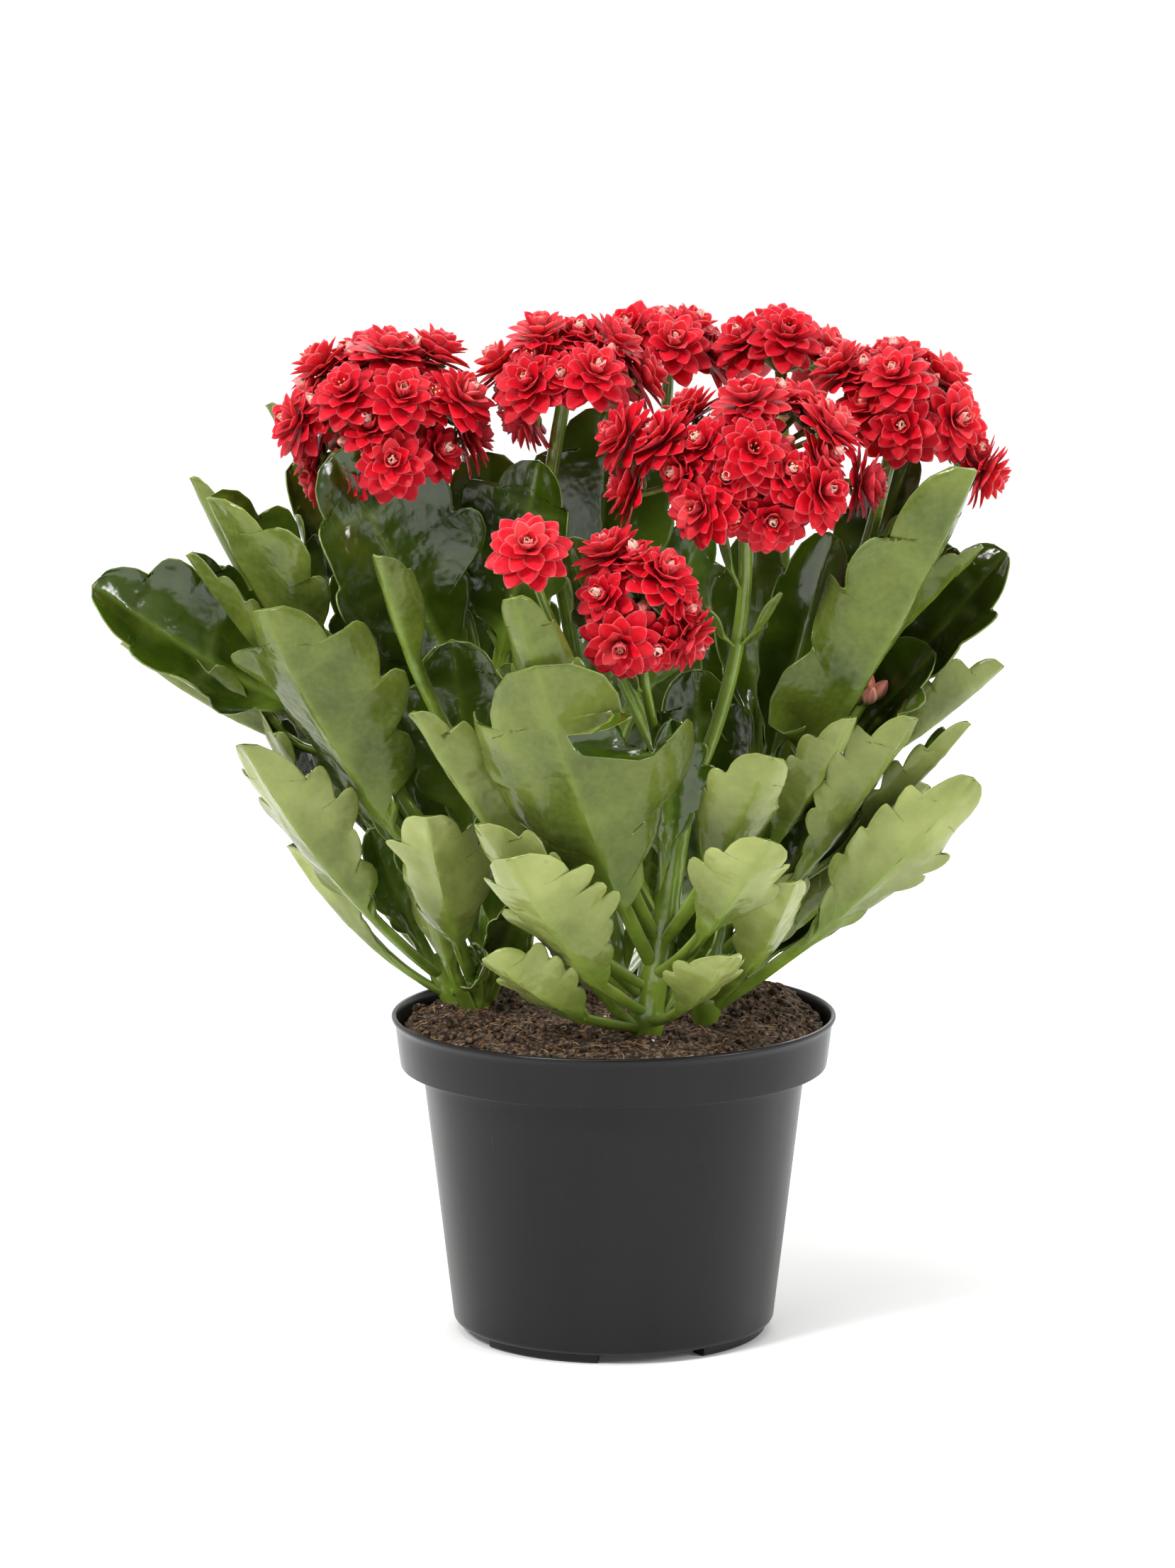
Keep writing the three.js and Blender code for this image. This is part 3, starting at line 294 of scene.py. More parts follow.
class Skin:
    """Points, triangles and values of one piece, gathered from its parts and then made into a mesh."""

    def __init__(self, name, value_names=()):
        self.name = name
        self.value_names = value_names
        self.points = []
        self.triangles = []
        self.values = []
        self.slots = []
        self.count = 0

    def add(self, points, triangles, slot=0, **values):
        """Takes in points and triangles, and under each name a value for every point or one for all."""
        points = np.asarray(points, float).reshape(-1, 3)
        columns = [np.broadcast_to(np.asarray(values.get(n, 0.0), float).ravel(), len(points))
                   for n in self.value_names]
        self.points.append(points)
        self.values.append(np.stack(columns, 1) if columns else np.zeros((len(points), 0)))
        self.triangles.append(np.asarray(triangles, int).reshape(-1, 3) + self.count)
        self.slots.append(np.full(len(self.triangles[-1]), slot))
        self.count += len(points)

    def add_tube(self, line, radii, sides, slot=0, **values):
        """Takes in a closed tube along a line of points, with a radius at each."""
        self.add(*tube(line, radii, sides), slot, **values)

    def build(self, materials):
        """Welds points that fall together, drops what collapses, and returns the mesh object."""
        points = np.concatenate(self.points)
        values = np.concatenate(self.values)
        _, first, back = np.unique(np.round(points, 3), axis=0, return_index=True, return_inverse=True)
        triangles = back.reshape(-1)[np.concatenate(self.triangles)]
        kept = (triangles != np.roll(triangles, 1, axis=1)).all(axis=1)
        triangles = triangles[kept]
        mesh = bpy.data.meshes.new(self.name)
        mesh.vertices.add(len(first))
        mesh.vertices.foreach_set("co", (points[first] * MM).astype(np.float32).ravel())
        mesh.loops.add(3 * len(triangles))
        mesh.loops.foreach_set("vertex_index", triangles.astype(np.int32).ravel())
        mesh.polygons.add(len(triangles))
        mesh.polygons.foreach_set("loop_start", np.arange(0, 3 * len(triangles), 3, dtype=np.int32))
        for material in materials:
            mesh.materials.append(material)
        mesh.polygons.foreach_set("material_index", np.concatenate(self.slots)[kept].astype(np.int32))
        for i, name in enumerate(self.value_names):
            layer = mesh.attributes.new(name, "FLOAT", "POINT")
            layer.data.foreach_set("value", values[first, i].astype(np.float32))
        mesh.update(calc_edges=True)
        mesh.validate()
        mesh.shade_smooth()
        piece = bpy.data.objects.new(self.name, mesh)
        bpy.context.scene.collection.objects.link(piece)
        return piece


def grid(rows, columns, turned=False, closed=False):
    """Triangles of a grid of rows x columns points. A closed one joins its last column to its first."""
    i, j = np.meshgrid(np.arange(rows - 1), np.arange(columns - (0 if closed else 1)), indexing="ij")
    k = (j + 1) % columns
    a, b, c, d = i * columns + j, i * columns + k, (i + 1) * columns + k, (i + 1) * columns + j
    quads = np.stack([a, b, c, a, c, d], -1).reshape(-1, 3)
    return quads[:, ::-1] if turned else quads


def curve_point(points, share):
    """Point of the centripetal curve through the points, at a share of the way along it."""
    points = np.asarray(points, float)
    last = len(points) - 1
    segment = min(int(share * last), last - 1)
    weight = share * last - segment
    p1, p2 = points[segment], points[segment + 1]
    p0 = points[segment - 1] if segment > 0 else 2 * p1 - p2
    p3 = points[segment + 2] if segment + 2 <= last else 2 * p2 - p1
    d0, d1, d2 = (math.sqrt(np.linalg.norm(b - a)) for a, b in ((p0, p1), (p1, p2), (p2, p3)))
    start = ((p1 - p0) / d0 - (p2 - p0) / (d0 + d1) + (p2 - p1) / d1) * d1
    end = ((p2 - p1) / d1 - (p3 - p1) / (d1 + d2) + (p3 - p2) / d2) * d1
    bend = (-3 * p1 + 3 * p2 - 2 * start - end, 2 * p1 - 2 * p2 + start + end)
    return p1 + start * weight + bend[0] * weight ** 2 + bend[1] * weight ** 3


# Direction that the first side of a tube is taken across
TUBE_ASIDE = [0.31, 0.83, 0.46]


def tube(line, radii, sides):
    """Points and triangles of a closed tube along a line of points, with a radius at each."""
    line = np.asarray(line, float)
    place = np.arange(len(line))
    tangent = unit(line[np.minimum(place + 2, len(line) - 1)] - line[np.maximum(place - 2, 0)])
    side = unit(np.cross(tangent[0], TUBE_ASIDE))
    turn = circle(sides)
    rings = []
    for point, along, radius in zip(line, tangent, radii):
        side = unit(side - along * (side @ along))
        other = np.cross(along, side)
        rings.append(point + radius * (np.outer(np.cos(turn), side) + np.outer(np.sin(turn), other)))
    return np.concatenate(rings), grid(len(line), sides, closed=True)


# Leaves: rows of points from the midrib to the rim, as shares, and sizes in millimetres
FIELD_ROWS = [0.17, 0.34, 0.5, 0.62, 0.74, 0.86]
PETIOLE_STEPS = 9
RIM_WIDTH = 0.9
RIM_SHOULDER = 0.74
BLADE_HALF = 0.55
NOTCH_FLOOR = 0.34
VEIN_RISE = 0.16

# Leaves narrower than the first are thinner, and bracts, which are narrower than the second, don't curl
FLESHY_WIDTH = 16
BRACT_WIDTH = 8

# Where the margin starts to curl, how long a slight curl and one of 3 radians are, and the range of the draw
CURL_START = 0.42
CURL_LENGTHS = (0.6, 0.2)
CURL_CHANCE = 1.6

# Waves of the blade: size and height of the broad ones and of the fine ones
WAVE_SIZE = 13
WAVE_HEIGHT = 1.5
RIPPLE_SIZE = 4.5
RIPPLE_HEIGHT = 0.25

# The values that colour a leaf
LEAF_VALUES = ["under", "rim", "notch", "stalk", "vein", "spot", "reach", "pale", "tone"]


def leaf_from_row(row, seed):
    axis, share, *places, width, petiole, belly, fold, cup, lobes, depth = row
    tip, face = np.array(places, float).reshape(2, 3)
    return SimpleNamespace(
        axis=axis, share=share, root=curve_point(AXES[axis][2], share), tip=tip, face=face, width=width,
        petiole=petiole, belly=belly, fold=math.radians(fold), cup=math.radians(cup), lobes=lobes,
        depth=depth, seed=seed, flesh=min(1, width / FLESHY_WIDTH),
        least=min(PETIOLE_HALF_WIDTH, 0.16 * width))


def tier_rows(tier, index):
    """Rows for the leaves of a tier, spread round a stem, every second one lower and further out."""
    axis, share, turn, spread, count, reach, tip_z, width = tier
    rows = []
    for i in range(count):
        angle = math.radians(turn + spread * (i / (count - 1) - 0.5))
        outer = i % 2
        far = reach * (0.92 + 0.2 * outer + 0.08 * draw(index, i))
        place = share - 0.1 * outer
        root = curve_point(AXES[axis][2], place)
        x, y = root[0] + far * math.cos(angle), root[1] + far * math.sin(angle)
        rows.append([axis, place, x, y, tip_z - 12 * outer, -math.cos(angle), -math.sin(angle), 0.8,
                     width, 0.3, 5 + 3 * outer, 8, 50, 3 + outer, 0.32])
    return rows


# Reach of each side lobe from the tip down, on the two leaves that show most
SHOWN_LOBES = {
    20: {1: [1, 0.95, 0.9], -1: [0.9, 1.12, 0.85]},
    36: {1: [0.75, 0.9, 1.15], -1: [1.05, 0.75, 0.5]},
}


def lobe_reach(leaf, lobe, side):
    shown = SHOWN_LOBES.get(leaf.seed, {}).get(side, [])
    if 1 <= lobe <= len(shown):
        return shown[lobe - 1]
    return 1 - 0.16 * draw(leaf.seed + side * 0.37, lobe) * min(1, lobe)


# Middle and size of the dry brown spot on a front leaf
BROWN_SPOT = [-14, -40, 201]
SPOT_REACH = 3.6

# Margins that turn right over towards the underside, by leaf, side and lobe, in radians
ROLLED_LOBES = {(20, -1, 0): -0.5, (20, -1, 1): -3.5, (20, -1, 2): 0.5, (20, 1, 1): 0.6, (10, 1, 1): -1.1,
                (5, -1, 1): 0.9, (36, 1, 1): -0.9, (36, 1, 2): 1.0, (36, -1, 1): 1.1, (36, 1, 3): -0.8}


def lobe_curl(leaf, lobe, side):
    """How far the margin of a lobe turns up or, below 0, down, in radians."""
    if leaf.width < BRACT_WIDTH:
        return 0.0
    chance = CURL_CHANCE * (draw(leaf.seed * 1.7 + side, lobe + 31) - 0.5)
    return ROLLED_LOBES.get((leaf.seed, side, lobe), chance)


def end_lobe(leaf, side):
    """Half of the end lobe, as an angle from the tip."""
    return END_LOBE * (0.8 + 0.4 * draw(leaf.seed, side))


def leaf_angles(leaf):
    """Angles from the base of the blade to its tip, closer together towards the notches of either side."""
    found = [np.linspace(0.01, 1, 5) * (math.pi - LOBED_REACH)]
    for side in (1, -1):
        end = end_lobe(leaf, side)
        pitch = (LOBED_REACH - end) / leaf.lobes
        phases = np.sin(np.linspace(-1, 1, 8) * math.pi / 2)
        for lobe in range(leaf.lobes):
            found.append(math.pi - end - pitch * (lobe + 0.5 + 0.5 * phases))
        found.append(math.pi - end * np.sin(np.linspace(0, 1, 6) * math.pi / 2))
    angles = np.sort(np.concatenate(found))
    return angles[np.concatenate([[True], np.diff(angles) > 0.008])]


def outline(leaf, angle, side):
    """Outline of a blade at angles from 0 at the base to pi at the tip: places along, half widths, the
    places on the midrib that the veins start from, how far the lobe stands out there, and its curl."""
    along = (1 - np.cos(angle)) / 2
    wedge = 1 - 0.6 * np.cos(angle / 2) ** 4
    from_tip = math.pi - angle
    end = end_lobe(leaf, side)
    local = (from_tip - end) / (LOBED_REACH - end) * leaf.lobes
    lobe = np.where(from_tip < end, 0, np.floor(local + 1e-9) + 1).astype(int)
    phase = np.clip(np.where(lobe == 0, from_tip / end, (local - lobe + 0.5) * 2), -1, 1)
    stand = np.sqrt(np.maximum(0, np.cos(phase * math.pi / 2)))
    past = lobe > leaf.lobes
    stand = np.where(past, 0.7 * smooth((from_tip - LOBED_REACH) / (math.pi - LOBED_REACH) * 4), stand)
    stand = np.maximum(stand, NOTCH_FLOOR)
    own = np.array([lobe_reach(leaf, k, side) for k in lobe])
    beside = np.array([lobe_reach(leaf, max(0, k + (1 if p > 0 else -1)), side) for k, p in zip(lobe, phase)])
    share = mix(own, (own + beside) / 2, np.where(past, 0, phase ** 4))
    scale = mix(0.95, (1 - leaf.depth * (1 - stand)) * share, np.minimum(1, along * 6))
    place = 0.5 + (along - 0.5) * scale + LOBE_SLANT * (stand - 0.5) * np.sin(angle)
    across = leaf.width / 2 * 1.13 * np.sin(angle) * wedge * scale
    across = np.where(along < 0.3, np.maximum(across, leaf.least), across)
    blade = 1 - leaf.petiole
    curl = np.array([lobe_curl(leaf, k, side) for k in lobe])
    curl = curl * np.where(past, 0, (stand - NOTCH_FLOOR) / (1 - NOTCH_FLOOR))
    return SimpleNamespace(
        along=leaf.petiole + blade * place, across=across, stand=stand, curl=curl,
        rib=leaf.petiole + blade * along * (0.62 + 0.38 * along),
        vein=np.where(past, 0, np.exp(-(phase / 0.22) ** 2)))


def midrib(leaf, along):
    """Point, direction and normal of the bent midrib at each place along it."""
    chord = leaf.tip - leaf.root
    up = unit(leaf.face - chord * (leaf.face @ chord) / (chord @ chord))
    knee = (leaf.root + leaf.tip) / 2 - 2 * leaf.belly * up
    t = along[..., None]
    point = (1 - t) ** 2 * leaf.root + 2 * t * (1 - t) * knee + t ** 2 * leaf.tip
    tangent = unit(2 * (1 - t) * (knee - leaf.root) + 2 * t * (leaf.tip - knee))
    normal = unit(up - tangent * (tangent @ up)[..., None])
    return point, tangent, normal


def leaf_grid(leaf, side):
    """Half of a leaf as rows from root to tip, each from the midrib to the rim, with the outline's values."""
    edge = outline(leaf, leaf_angles(leaf), side)
    stations = np.linspace(0, 1, PETIOLE_STEPS, endpoint=False) * leaf.petiole
    rib = np.concatenate([[0], stations, edge.rib])
    beyond = np.concatenate([[0], stations, edge.along]) - rib
    half_width = np.concatenate([[0], np.full(PETIOLE_STEPS, leaf.least), edge.across])
    pad = np.zeros(PETIOLE_STEPS + 1)
    curl, vein, stand = (np.concatenate([pad, v])[:, None] for v in (edge.curl, edge.vein, edge.stand))
    length = np.hypot(half_width, beyond * np.linalg.norm(leaf.tip - leaf.root))
    rim = np.minimum(0.45, RIM_WIDTH * leaf.flesh / np.maximum(length, 0.1))
    first = np.minimum(0.08, 1.3 / np.maximum(length, 0.1))
    rows = [0 * rim, first] + [s + 0 * rim for s in FIELD_ROWS]
    share = np.stack([r * (1 - rim) for r in rows] + [1 - rim, 1 - 0.35 * rim, 1 + 0 * rim], 1)
    return SimpleNamespace(
        share=share, along=rib[:, None] + beyond[:, None] * share, across=half_width[:, None] * share,
        curl=curl, vein=vein, stand=stand, from_rim=(1 - share) * length[:, None])


def leaf_section(leaf, half):
    """Slope of a folded, cupped section with a curled margin, and how far it leads out and up."""
    spread = np.clip((half.along - leaf.petiole * 0.6) * 5, 0, 1)
    angle = spread * (leaf.fold + leaf.cup * half.across / (leaf.width / 2))
    length = mix(*CURL_LENGTHS, np.minimum(1, np.abs(half.curl) / 3))
    angle = angle + half.curl * smooth((half.share - CURL_START) / length) ** 1.3
    angle = angle * smooth(half.across / 1.8)
    return angle, *walk(np.diff(half.across, axis=1), angle)


def leaf_flesh(leaf, half):
    """How far the upper and lower skins stand from the middle surface: groove, ridge, veins, round rim."""
    thin = mix(1, 0.5, half.reach)
    rounded = np.ones_like(half.share)
    rounded[:, -2] = RIM_SHOULDER
    rounded[:, -1] = 0
    body = BLADE_HALF * thin * rounded
    dome = np.sqrt(np.maximum(0, 1 - half.share ** 2))
    half.veined = half.vein * (1 - half.share) * half.blade
    half.groove = np.exp(-half.across ** 2) * thin * leaf.flesh
    half.ridge = np.exp(-(half.across / 1.9) ** 2) * thin * leaf.flesh
    top_blade = body - 0.35 * half.groove - VEIN_RISE * half.veined
    top = mix(0.95 * leaf.flesh * dome - 0.5 * half.groove, top_blade, half.blade)
    under = mix(1.6 * leaf.flesh * dome, body + 1.05 * half.ridge + VEIN_RISE * half.veined, half.blade)
    top[0] = under[0] = 0
    return top, under


def leaf_waves(leaf, half, middle):
    """How far the blade's waves lift it at each point."""
    inside = smooth((1 - half.share) * 4) * smooth(half.share * 5)
    flat = middle.reshape(-1, 3)
    wave = noise(flat, WAVE_SIZE, leaf.seed).reshape(inside.shape)
    ripple = noise(flat, RIPPLE_SIZE, leaf.seed + 5).reshape(inside.shape)
    broad = WAVE_HEIGHT * wave * smooth(half.share * 4)
    return half.blade * leaf.flesh * (broad + RIPPLE_HEIGHT * ripple * inside)


def leaf_values(leaf, half, middle):
    """The values that colour a leaf: rim, notches, green stalk, veins, dry spot and reach."""
    past = half.along - leaf.petiole
    stalk = np.maximum(1 - half.blade, 0.75 * half.ridge * (1 - 0.6 * past))
    spot_far = np.linalg.norm(middle - BROWN_SPOT, axis=-1) / SPOT_REACH
    return dict(
        rim=np.exp(-half.from_rim / 0.7), notch=(1 - half.stand) * np.exp(-half.from_rim / 0.9) * half.blade,
        stalk=np.maximum(stalk, 0.8 * smooth(1 - past / 0.22) * half.blade),
        vein=np.maximum(half.veined, half.groove * half.blade), spot=np.exp(-spot_far ** 4),
        reach=half.reach, pale=float(smooth((205 - leaf.tip[2]) / 60)), tone=draw(leaf.seed, 77))


def add_leaf(skin, leaf):
    """One leaf: a fleshy petiole and a lobed blade with rounded rims, in a single closed skin."""
    for side in (1, -1):
        half = leaf_grid(leaf, side)
        half.blade = smooth((half.along / leaf.petiole - 0.7) / 0.6)
        half.reach = np.clip((half.along - leaf.petiole) / (1 - leaf.petiole), 0, 1)
        angle, out, rise = leaf_section(leaf, half)
        point, tangent, normal = midrib(leaf, half.along)
        sideways = np.cross(tangent, normal) * side
        middle = point + sideways * out[..., None] + normal * rise[..., None]
        outward = normal * np.cos(angle)[..., None] - sideways * np.sin(angle)[..., None]
        top, under = leaf_flesh(leaf, half)
        lift = leaf_waves(leaf, half, middle)
        values = leaf_values(leaf, half, middle)
        rows, columns = half.share.shape
        for face, height in ((0, lift + top), (1, lift - under)):
            shown = np.full((rows, columns), float(face))
            shown[:, -1] = 0.5
            triangles = grid(rows, columns, turned=(face == 0) == (side > 0))
            skin.add(middle + outward * height[..., None], triangles, face, under=shown, **values)


def add_stem(skin, name, leaves):
    """A stem with a swelling where each leaf leaves it, and a rounded end."""
    _, radius, points = AXES[name]
    shares = np.linspace(0, 1, 12 * (len(points) - 1) + 1)
    line = [curve_point(points, s) for s in shares]
    radii = np.full(len(shares), radius * 1.02)
    for leaf in leaves:
        if leaf.axis == name:
            radii += 0.16 * radius * np.exp(-((shares - leaf.share) / 0.035) ** 2)
    shade = 0.35 if name.startswith("stalk") else 0.0
    skin.add_tube([line[0], *line, line[-1]], np.concatenate([[0], radii, [0]]), 14,
                  under=0.75 - shade, stalk=1.0, tone=draw(len(name), radius))


# Flowers: rows of points from a petal's claw to its tip, and columns from side to side
PETAL_ROWS = np.array([0, 0.15, 0.33, 0.5, 0.68, 0.84, 0.94, 1.0])
PETAL_COLUMNS = np.array([-1, -0.55, 0, 0.55, 1])
PETAL_TIPS, PETAL_EDGES = np.meshgrid(PETAL_ROWS, np.abs(PETAL_COLUMNS), indexing="ij")
PETAL_HALF = 0.22

# Material slots of a flower head, and the values that colour it
PETAL_SLOT, GREEN_SLOT, BUD_SLOT = 0, 1, 2
FLOWER_VALUES = ["tip", "edge", "heart", "back", "tone", "bare"]

# Layers of a double floret from the outside in: petals, length, width, lift and bend in degrees, and cup
LAYERS = [
    (8, 10.6, 6.2, 4, -14, 0.14),
    (8, 9.9, 5.9, 17, -14, 0.2),
    (8, 8.8, 5.4, 33, -12, 0.26),
    (6, 7.4, 4.7, 50, -4, 0.34),
    (5, 5.8, 3.8, 66, 12, 0.5),
]
HEART = (3, 5.2, 3.0, 66, 46, 0.8)
SEPALS = (5, 4.6, 2.4, -20, 70, 0.3)
SEPAL_INSET = 0.6

# Turn of each layer of petals against the one outside it, in radians
LAYER_TURN = 0.42

# A floret's base lies this far below its centre, and its other places are counted along its axis from there
FLORET_DEPTH = 2.6
LAYER_RISE = 0.75
HEART_RISE = 3.6
ANTHER_FOOT = 2.4
ANTHER_HEAD = 6.6
SEPAL_DROP = 1.2
NECK_DROP = 0.6

# Between two florets nearer than this stands a smaller one, if there is room, or at every third place a bud
NEAR_FLORETS = 36
LEAST_ROOM = 9.5
SMALL_FLORET = 0.86
BUD_EVERY = 3

# Radii of the closed buds, and the shortest step from a stalk to its hub that gets a swelling
BUD_RADIUS = 2.3
CLUSTER_BUD_RADIUS = 2.2
LEAST_KNUCKLE = 0.5

# Seeds: one head starts this far after another, and buds, small florets and the bud cluster further on
HEAD_SEEDS = 20
BUD_SEED = 300
SMALL_FLORET_SEED = 400
CLUSTER_SEED = 500


def petal(length, width, lift, bend, cup, twist):
    """Points of one petal from its claw to its small sharp tip: outward, sideways and up, in two skins."""
    s = PETAL_ROWS[:, None]
    c = PETAL_COLUMNS[None, :]
    claw = 0.36 + 0.64 * np.sin(math.pi * np.minimum(0.5, s))
    broad = np.where(s < 0.5, claw, (1 - (np.maximum(0, s - 0.5) / 0.5) ** 2.5) ** 0.9)
    side = width / 2 * broad * c
    slope = np.radians(lift + bend * PETAL_ROWS)
    out, high = (line[:, None] for line in walk(np.diff(PETAL_ROWS) * length, slope))
    raised = cup * width / 2 * broad * c ** 2 + twist * side * s
    radius = out - raised * np.sin(slope)[:, None] + 0 * c
    height = high + raised * np.cos(slope)[:, None]
    thick = PETAL_HALF * (1 - c ** 2) * (1 - s ** 4)
    back, rise = thick * np.sin(slope)[:, None], thick * np.cos(slope)[:, None]
    upper = np.stack([radius - back, side, height + rise], -1)
    lower = np.stack([radius + back, side, height - rise], -1)
    return upper, lower


def turned_to(axis):
    """Rotation that takes +Z to the axis."""
    z = unit(np.asarray(axis, float))
    x = unit(np.cross([0.2, 1.0, 0.1], z))
    return np.stack([x, np.cross(z, x), z], 1)


def both_skins(skins, inset, angle, turn, centre):
    """Points and triangles of the two skins of a petal or sepal, set round the axis of its flower."""
    for back, points in enumerate(skins):
        placed = spun(points + [inset, 0, 0], angle) @ turn.T + centre
        yield back, placed, grid(*points.shape[:2], turned=back == 1)


def add_petals(skin, centre, turn, layer, start, inset, level, seed, shade, size=1.0):
    """A ring of petals, each a little different from the next."""
    count, length, width, lift, bend, cup = layer
    for i in range(count):
        vary = [draw(seed, 10 * level + i + k * 101) - 0.5 for k in range(5)]
        skins = petal(length * size * (1 + 0.12 * vary[1]), width * size * (1 + 0.1 * vary[2]),
                      lift + 12 * vary[3], bend + 16 * vary[4], cup, 0.25 * vary[0])
        angle = start + (i + 0.25 * vary[0]) / count * TAU
        tone = draw(seed, 3) * 0.6 + 0.4 * draw(seed, level * 7 + i)
        for back, points, triangles in both_skins(skins, inset, angle, turn, centre):
            skin.add(points, triangles, PETAL_SLOT, tip=PETAL_TIPS, edge=PETAL_EDGES, heart=shade,
                     back=back, tone=tone)


def add_sepals(skin, centre, turn, layer, start, seed):
    """A ring of sepals, all alike."""
    count, *form = layer
    for i in range(count):
        angle = start + i / count * TAU
        for _, points, triangles in both_skins(petal(*form, 0), SEPAL_INSET, angle, turn, centre):
            skin.add(points, triangles, GREEN_SLOT, tone=draw(seed, i + 60))


def add_anthers(skin, base, axis, turn, start):
    """Four small anthers on pale threads in the heart of a floret."""
    foot = base + axis * ANTHER_FOOT
    for i in range(4):
        angle = start + i / 4 * TAU
        spread = turn @ np.array([math.cos(angle), math.sin(angle), 0])
        head = base + axis * ANTHER_HEAD + spread * 1.1
        line = [foot, mix(foot, head, 0.02), mix(foot, head, 0.9), mix(foot, head, 0.95), head, head]
        skin.add_tube(line, [0, 0.14, 0.14, 0.3, 0.28, 0], 6, GREEN_SLOT, tone=0.5, bare=1.0)


def add_floret(skin, hub, centre, seed, size=1.0, layers=LAYERS):
    """A double floret: its thin stalk, its sepals, layers of petals, and a curled pale heart."""
    hub, centre = np.asarray(hub, float), np.asarray(centre, float)
    lean = unit(np.array([draw(seed, k) - 0.5 for k in (4, 5, 6)]))
    axis = unit(unit(centre - hub) + 0.24 * lean + [0, 0, 0.3])
    turn = turned_to(axis)
    start = draw(seed, 1) * TAU
    closed = 6 * (draw(seed, 8) - 0.4)
    base = centre - axis * FLORET_DEPTH
    for level, (count, length, width, lift, bend, cup) in enumerate(layers):
        layer = (count, length, width, lift + closed, bend, cup)
        add_petals(skin, base + axis * (LAYER_RISE * level), turn, layer, start + level * LAYER_TURN,
                   1.0 - 0.12 * level, level, seed, level / 6, size)
    if draw(seed, 9) < 0.85:
        count, length, *form = HEART
        pale = (count, length * mix(0.75, 1.1, draw(seed, 12)), *form)
        add_petals(skin, base + axis * HEART_RISE, turn, pale, start + 0.9, 0.5, 7, seed, 1.0)
    add_anthers(skin, base, axis, turn, start)
    add_sepals(skin, base - axis * SEPAL_DROP, turn, SEPALS, start, seed)
    neck = base - axis * NECK_DROP
    line = [hub, mix(hub, neck, 0.01), mix(hub, neck, 0.5), neck - axis, neck, neck]
    skin.add_tube(line, [0, 0.85, 0.8, 0.95, 1.3, 0], 8, GREEN_SLOT, tone=0.3)


def add_knuckle(skin, stalk, hub):
    """The swelling at the top of a flower stalk, where the thin stalks of its florets begin."""
    _, radius, points = AXES[stalk]
    top, hub = np.asarray(points[-1], float), np.asarray(hub, float)
    if np.linalg.norm(hub - top) < LEAST_KNUCKLE:
        return
    along = unit(hub - top)
    low, high = top - along, hub + along
    skin.add_tube([low, low + along * 0.02, mix(top, hub, 0.5), high - along * 0.4, high],
                  [0, radius * 0.9, radius * 1.1, radius * 0.95, 0], 8, GREEN_SLOT, tone=0.3)


def between(hub, centres):
    """Places between neighbouring florets, lower than either, and whether a closed bud stands there."""
    found = []
    hub, centres = np.array(hub, float), np.array(centres, float)
    for first, second in itertools.combinations(centres, 2):
        gap = np.linalg.norm(first - second)
        middle = (first + second) / 2
        far = (np.linalg.norm(first - hub) + np.linalg.norm(second - hub)) / 2
        spot = hub + unit(middle - hub) * far * 0.9
        near = [np.linalg.norm(spot - other) for other, _ in found]
        near += [1.25 * np.linalg.norm(spot - other) for other in centres]
        if gap < NEAR_FLORETS and min(near) > LEAST_ROOM:
            found.append((spot, len(found) % BUD_EVERY == BUD_EVERY - 1))
    return found


def add_bud(skin, tip, foot, radius, seed):
    """A closed bud: four folded petals wrapped into a point, in a cup of sepals, on a thin stalk."""
    tip, foot = np.asarray(tip, float), np.asarray(foot, float)
    axis = unit(tip - foot)
    turn = turned_to(axis)
    length = min(3.1 * radius, np.linalg.norm(tip - foot) * 0.8)
    base = tip - axis * length
    rows, columns = 12, 16
    s = np.linspace(0, 1, rows)[:, None]
    a = np.linspace(0, TAU, columns + 1)[None, :-1]
    swell = np.sin(math.pi * s ** 0.85) ** 0.62 * (1 - 0.25 * s)
    folds = np.cos(4 * a + 2.2 * s + seed)
    r = radius * swell * (1 + 0.09 * folds)
    local = np.stack([r * np.cos(a), r * np.sin(a), s * length + 0 * a], -1)
    skin.add(local @ turn.T + base, grid(rows, columns, closed=True), BUD_SLOT,
             tip=s + 0 * a, edge=0.5 - 0.5 * folds, tone=draw(seed, 2))
    sepals = (4, length * 0.62, radius * 1.5, 62, 44, 0.5)
    add_sepals(skin, base - axis * 0.4, turn, sepals, draw(seed, 1), seed)
    top = base + axis * 0.8
    skin.add_tube([foot, mix(foot, base, 0.02), mix(foot, base, 0.6), base, top, top],
                  [0, 0.7, 0.65, 0.8, 1.1, 0], 8, GREEN_SLOT, tone=0.3)


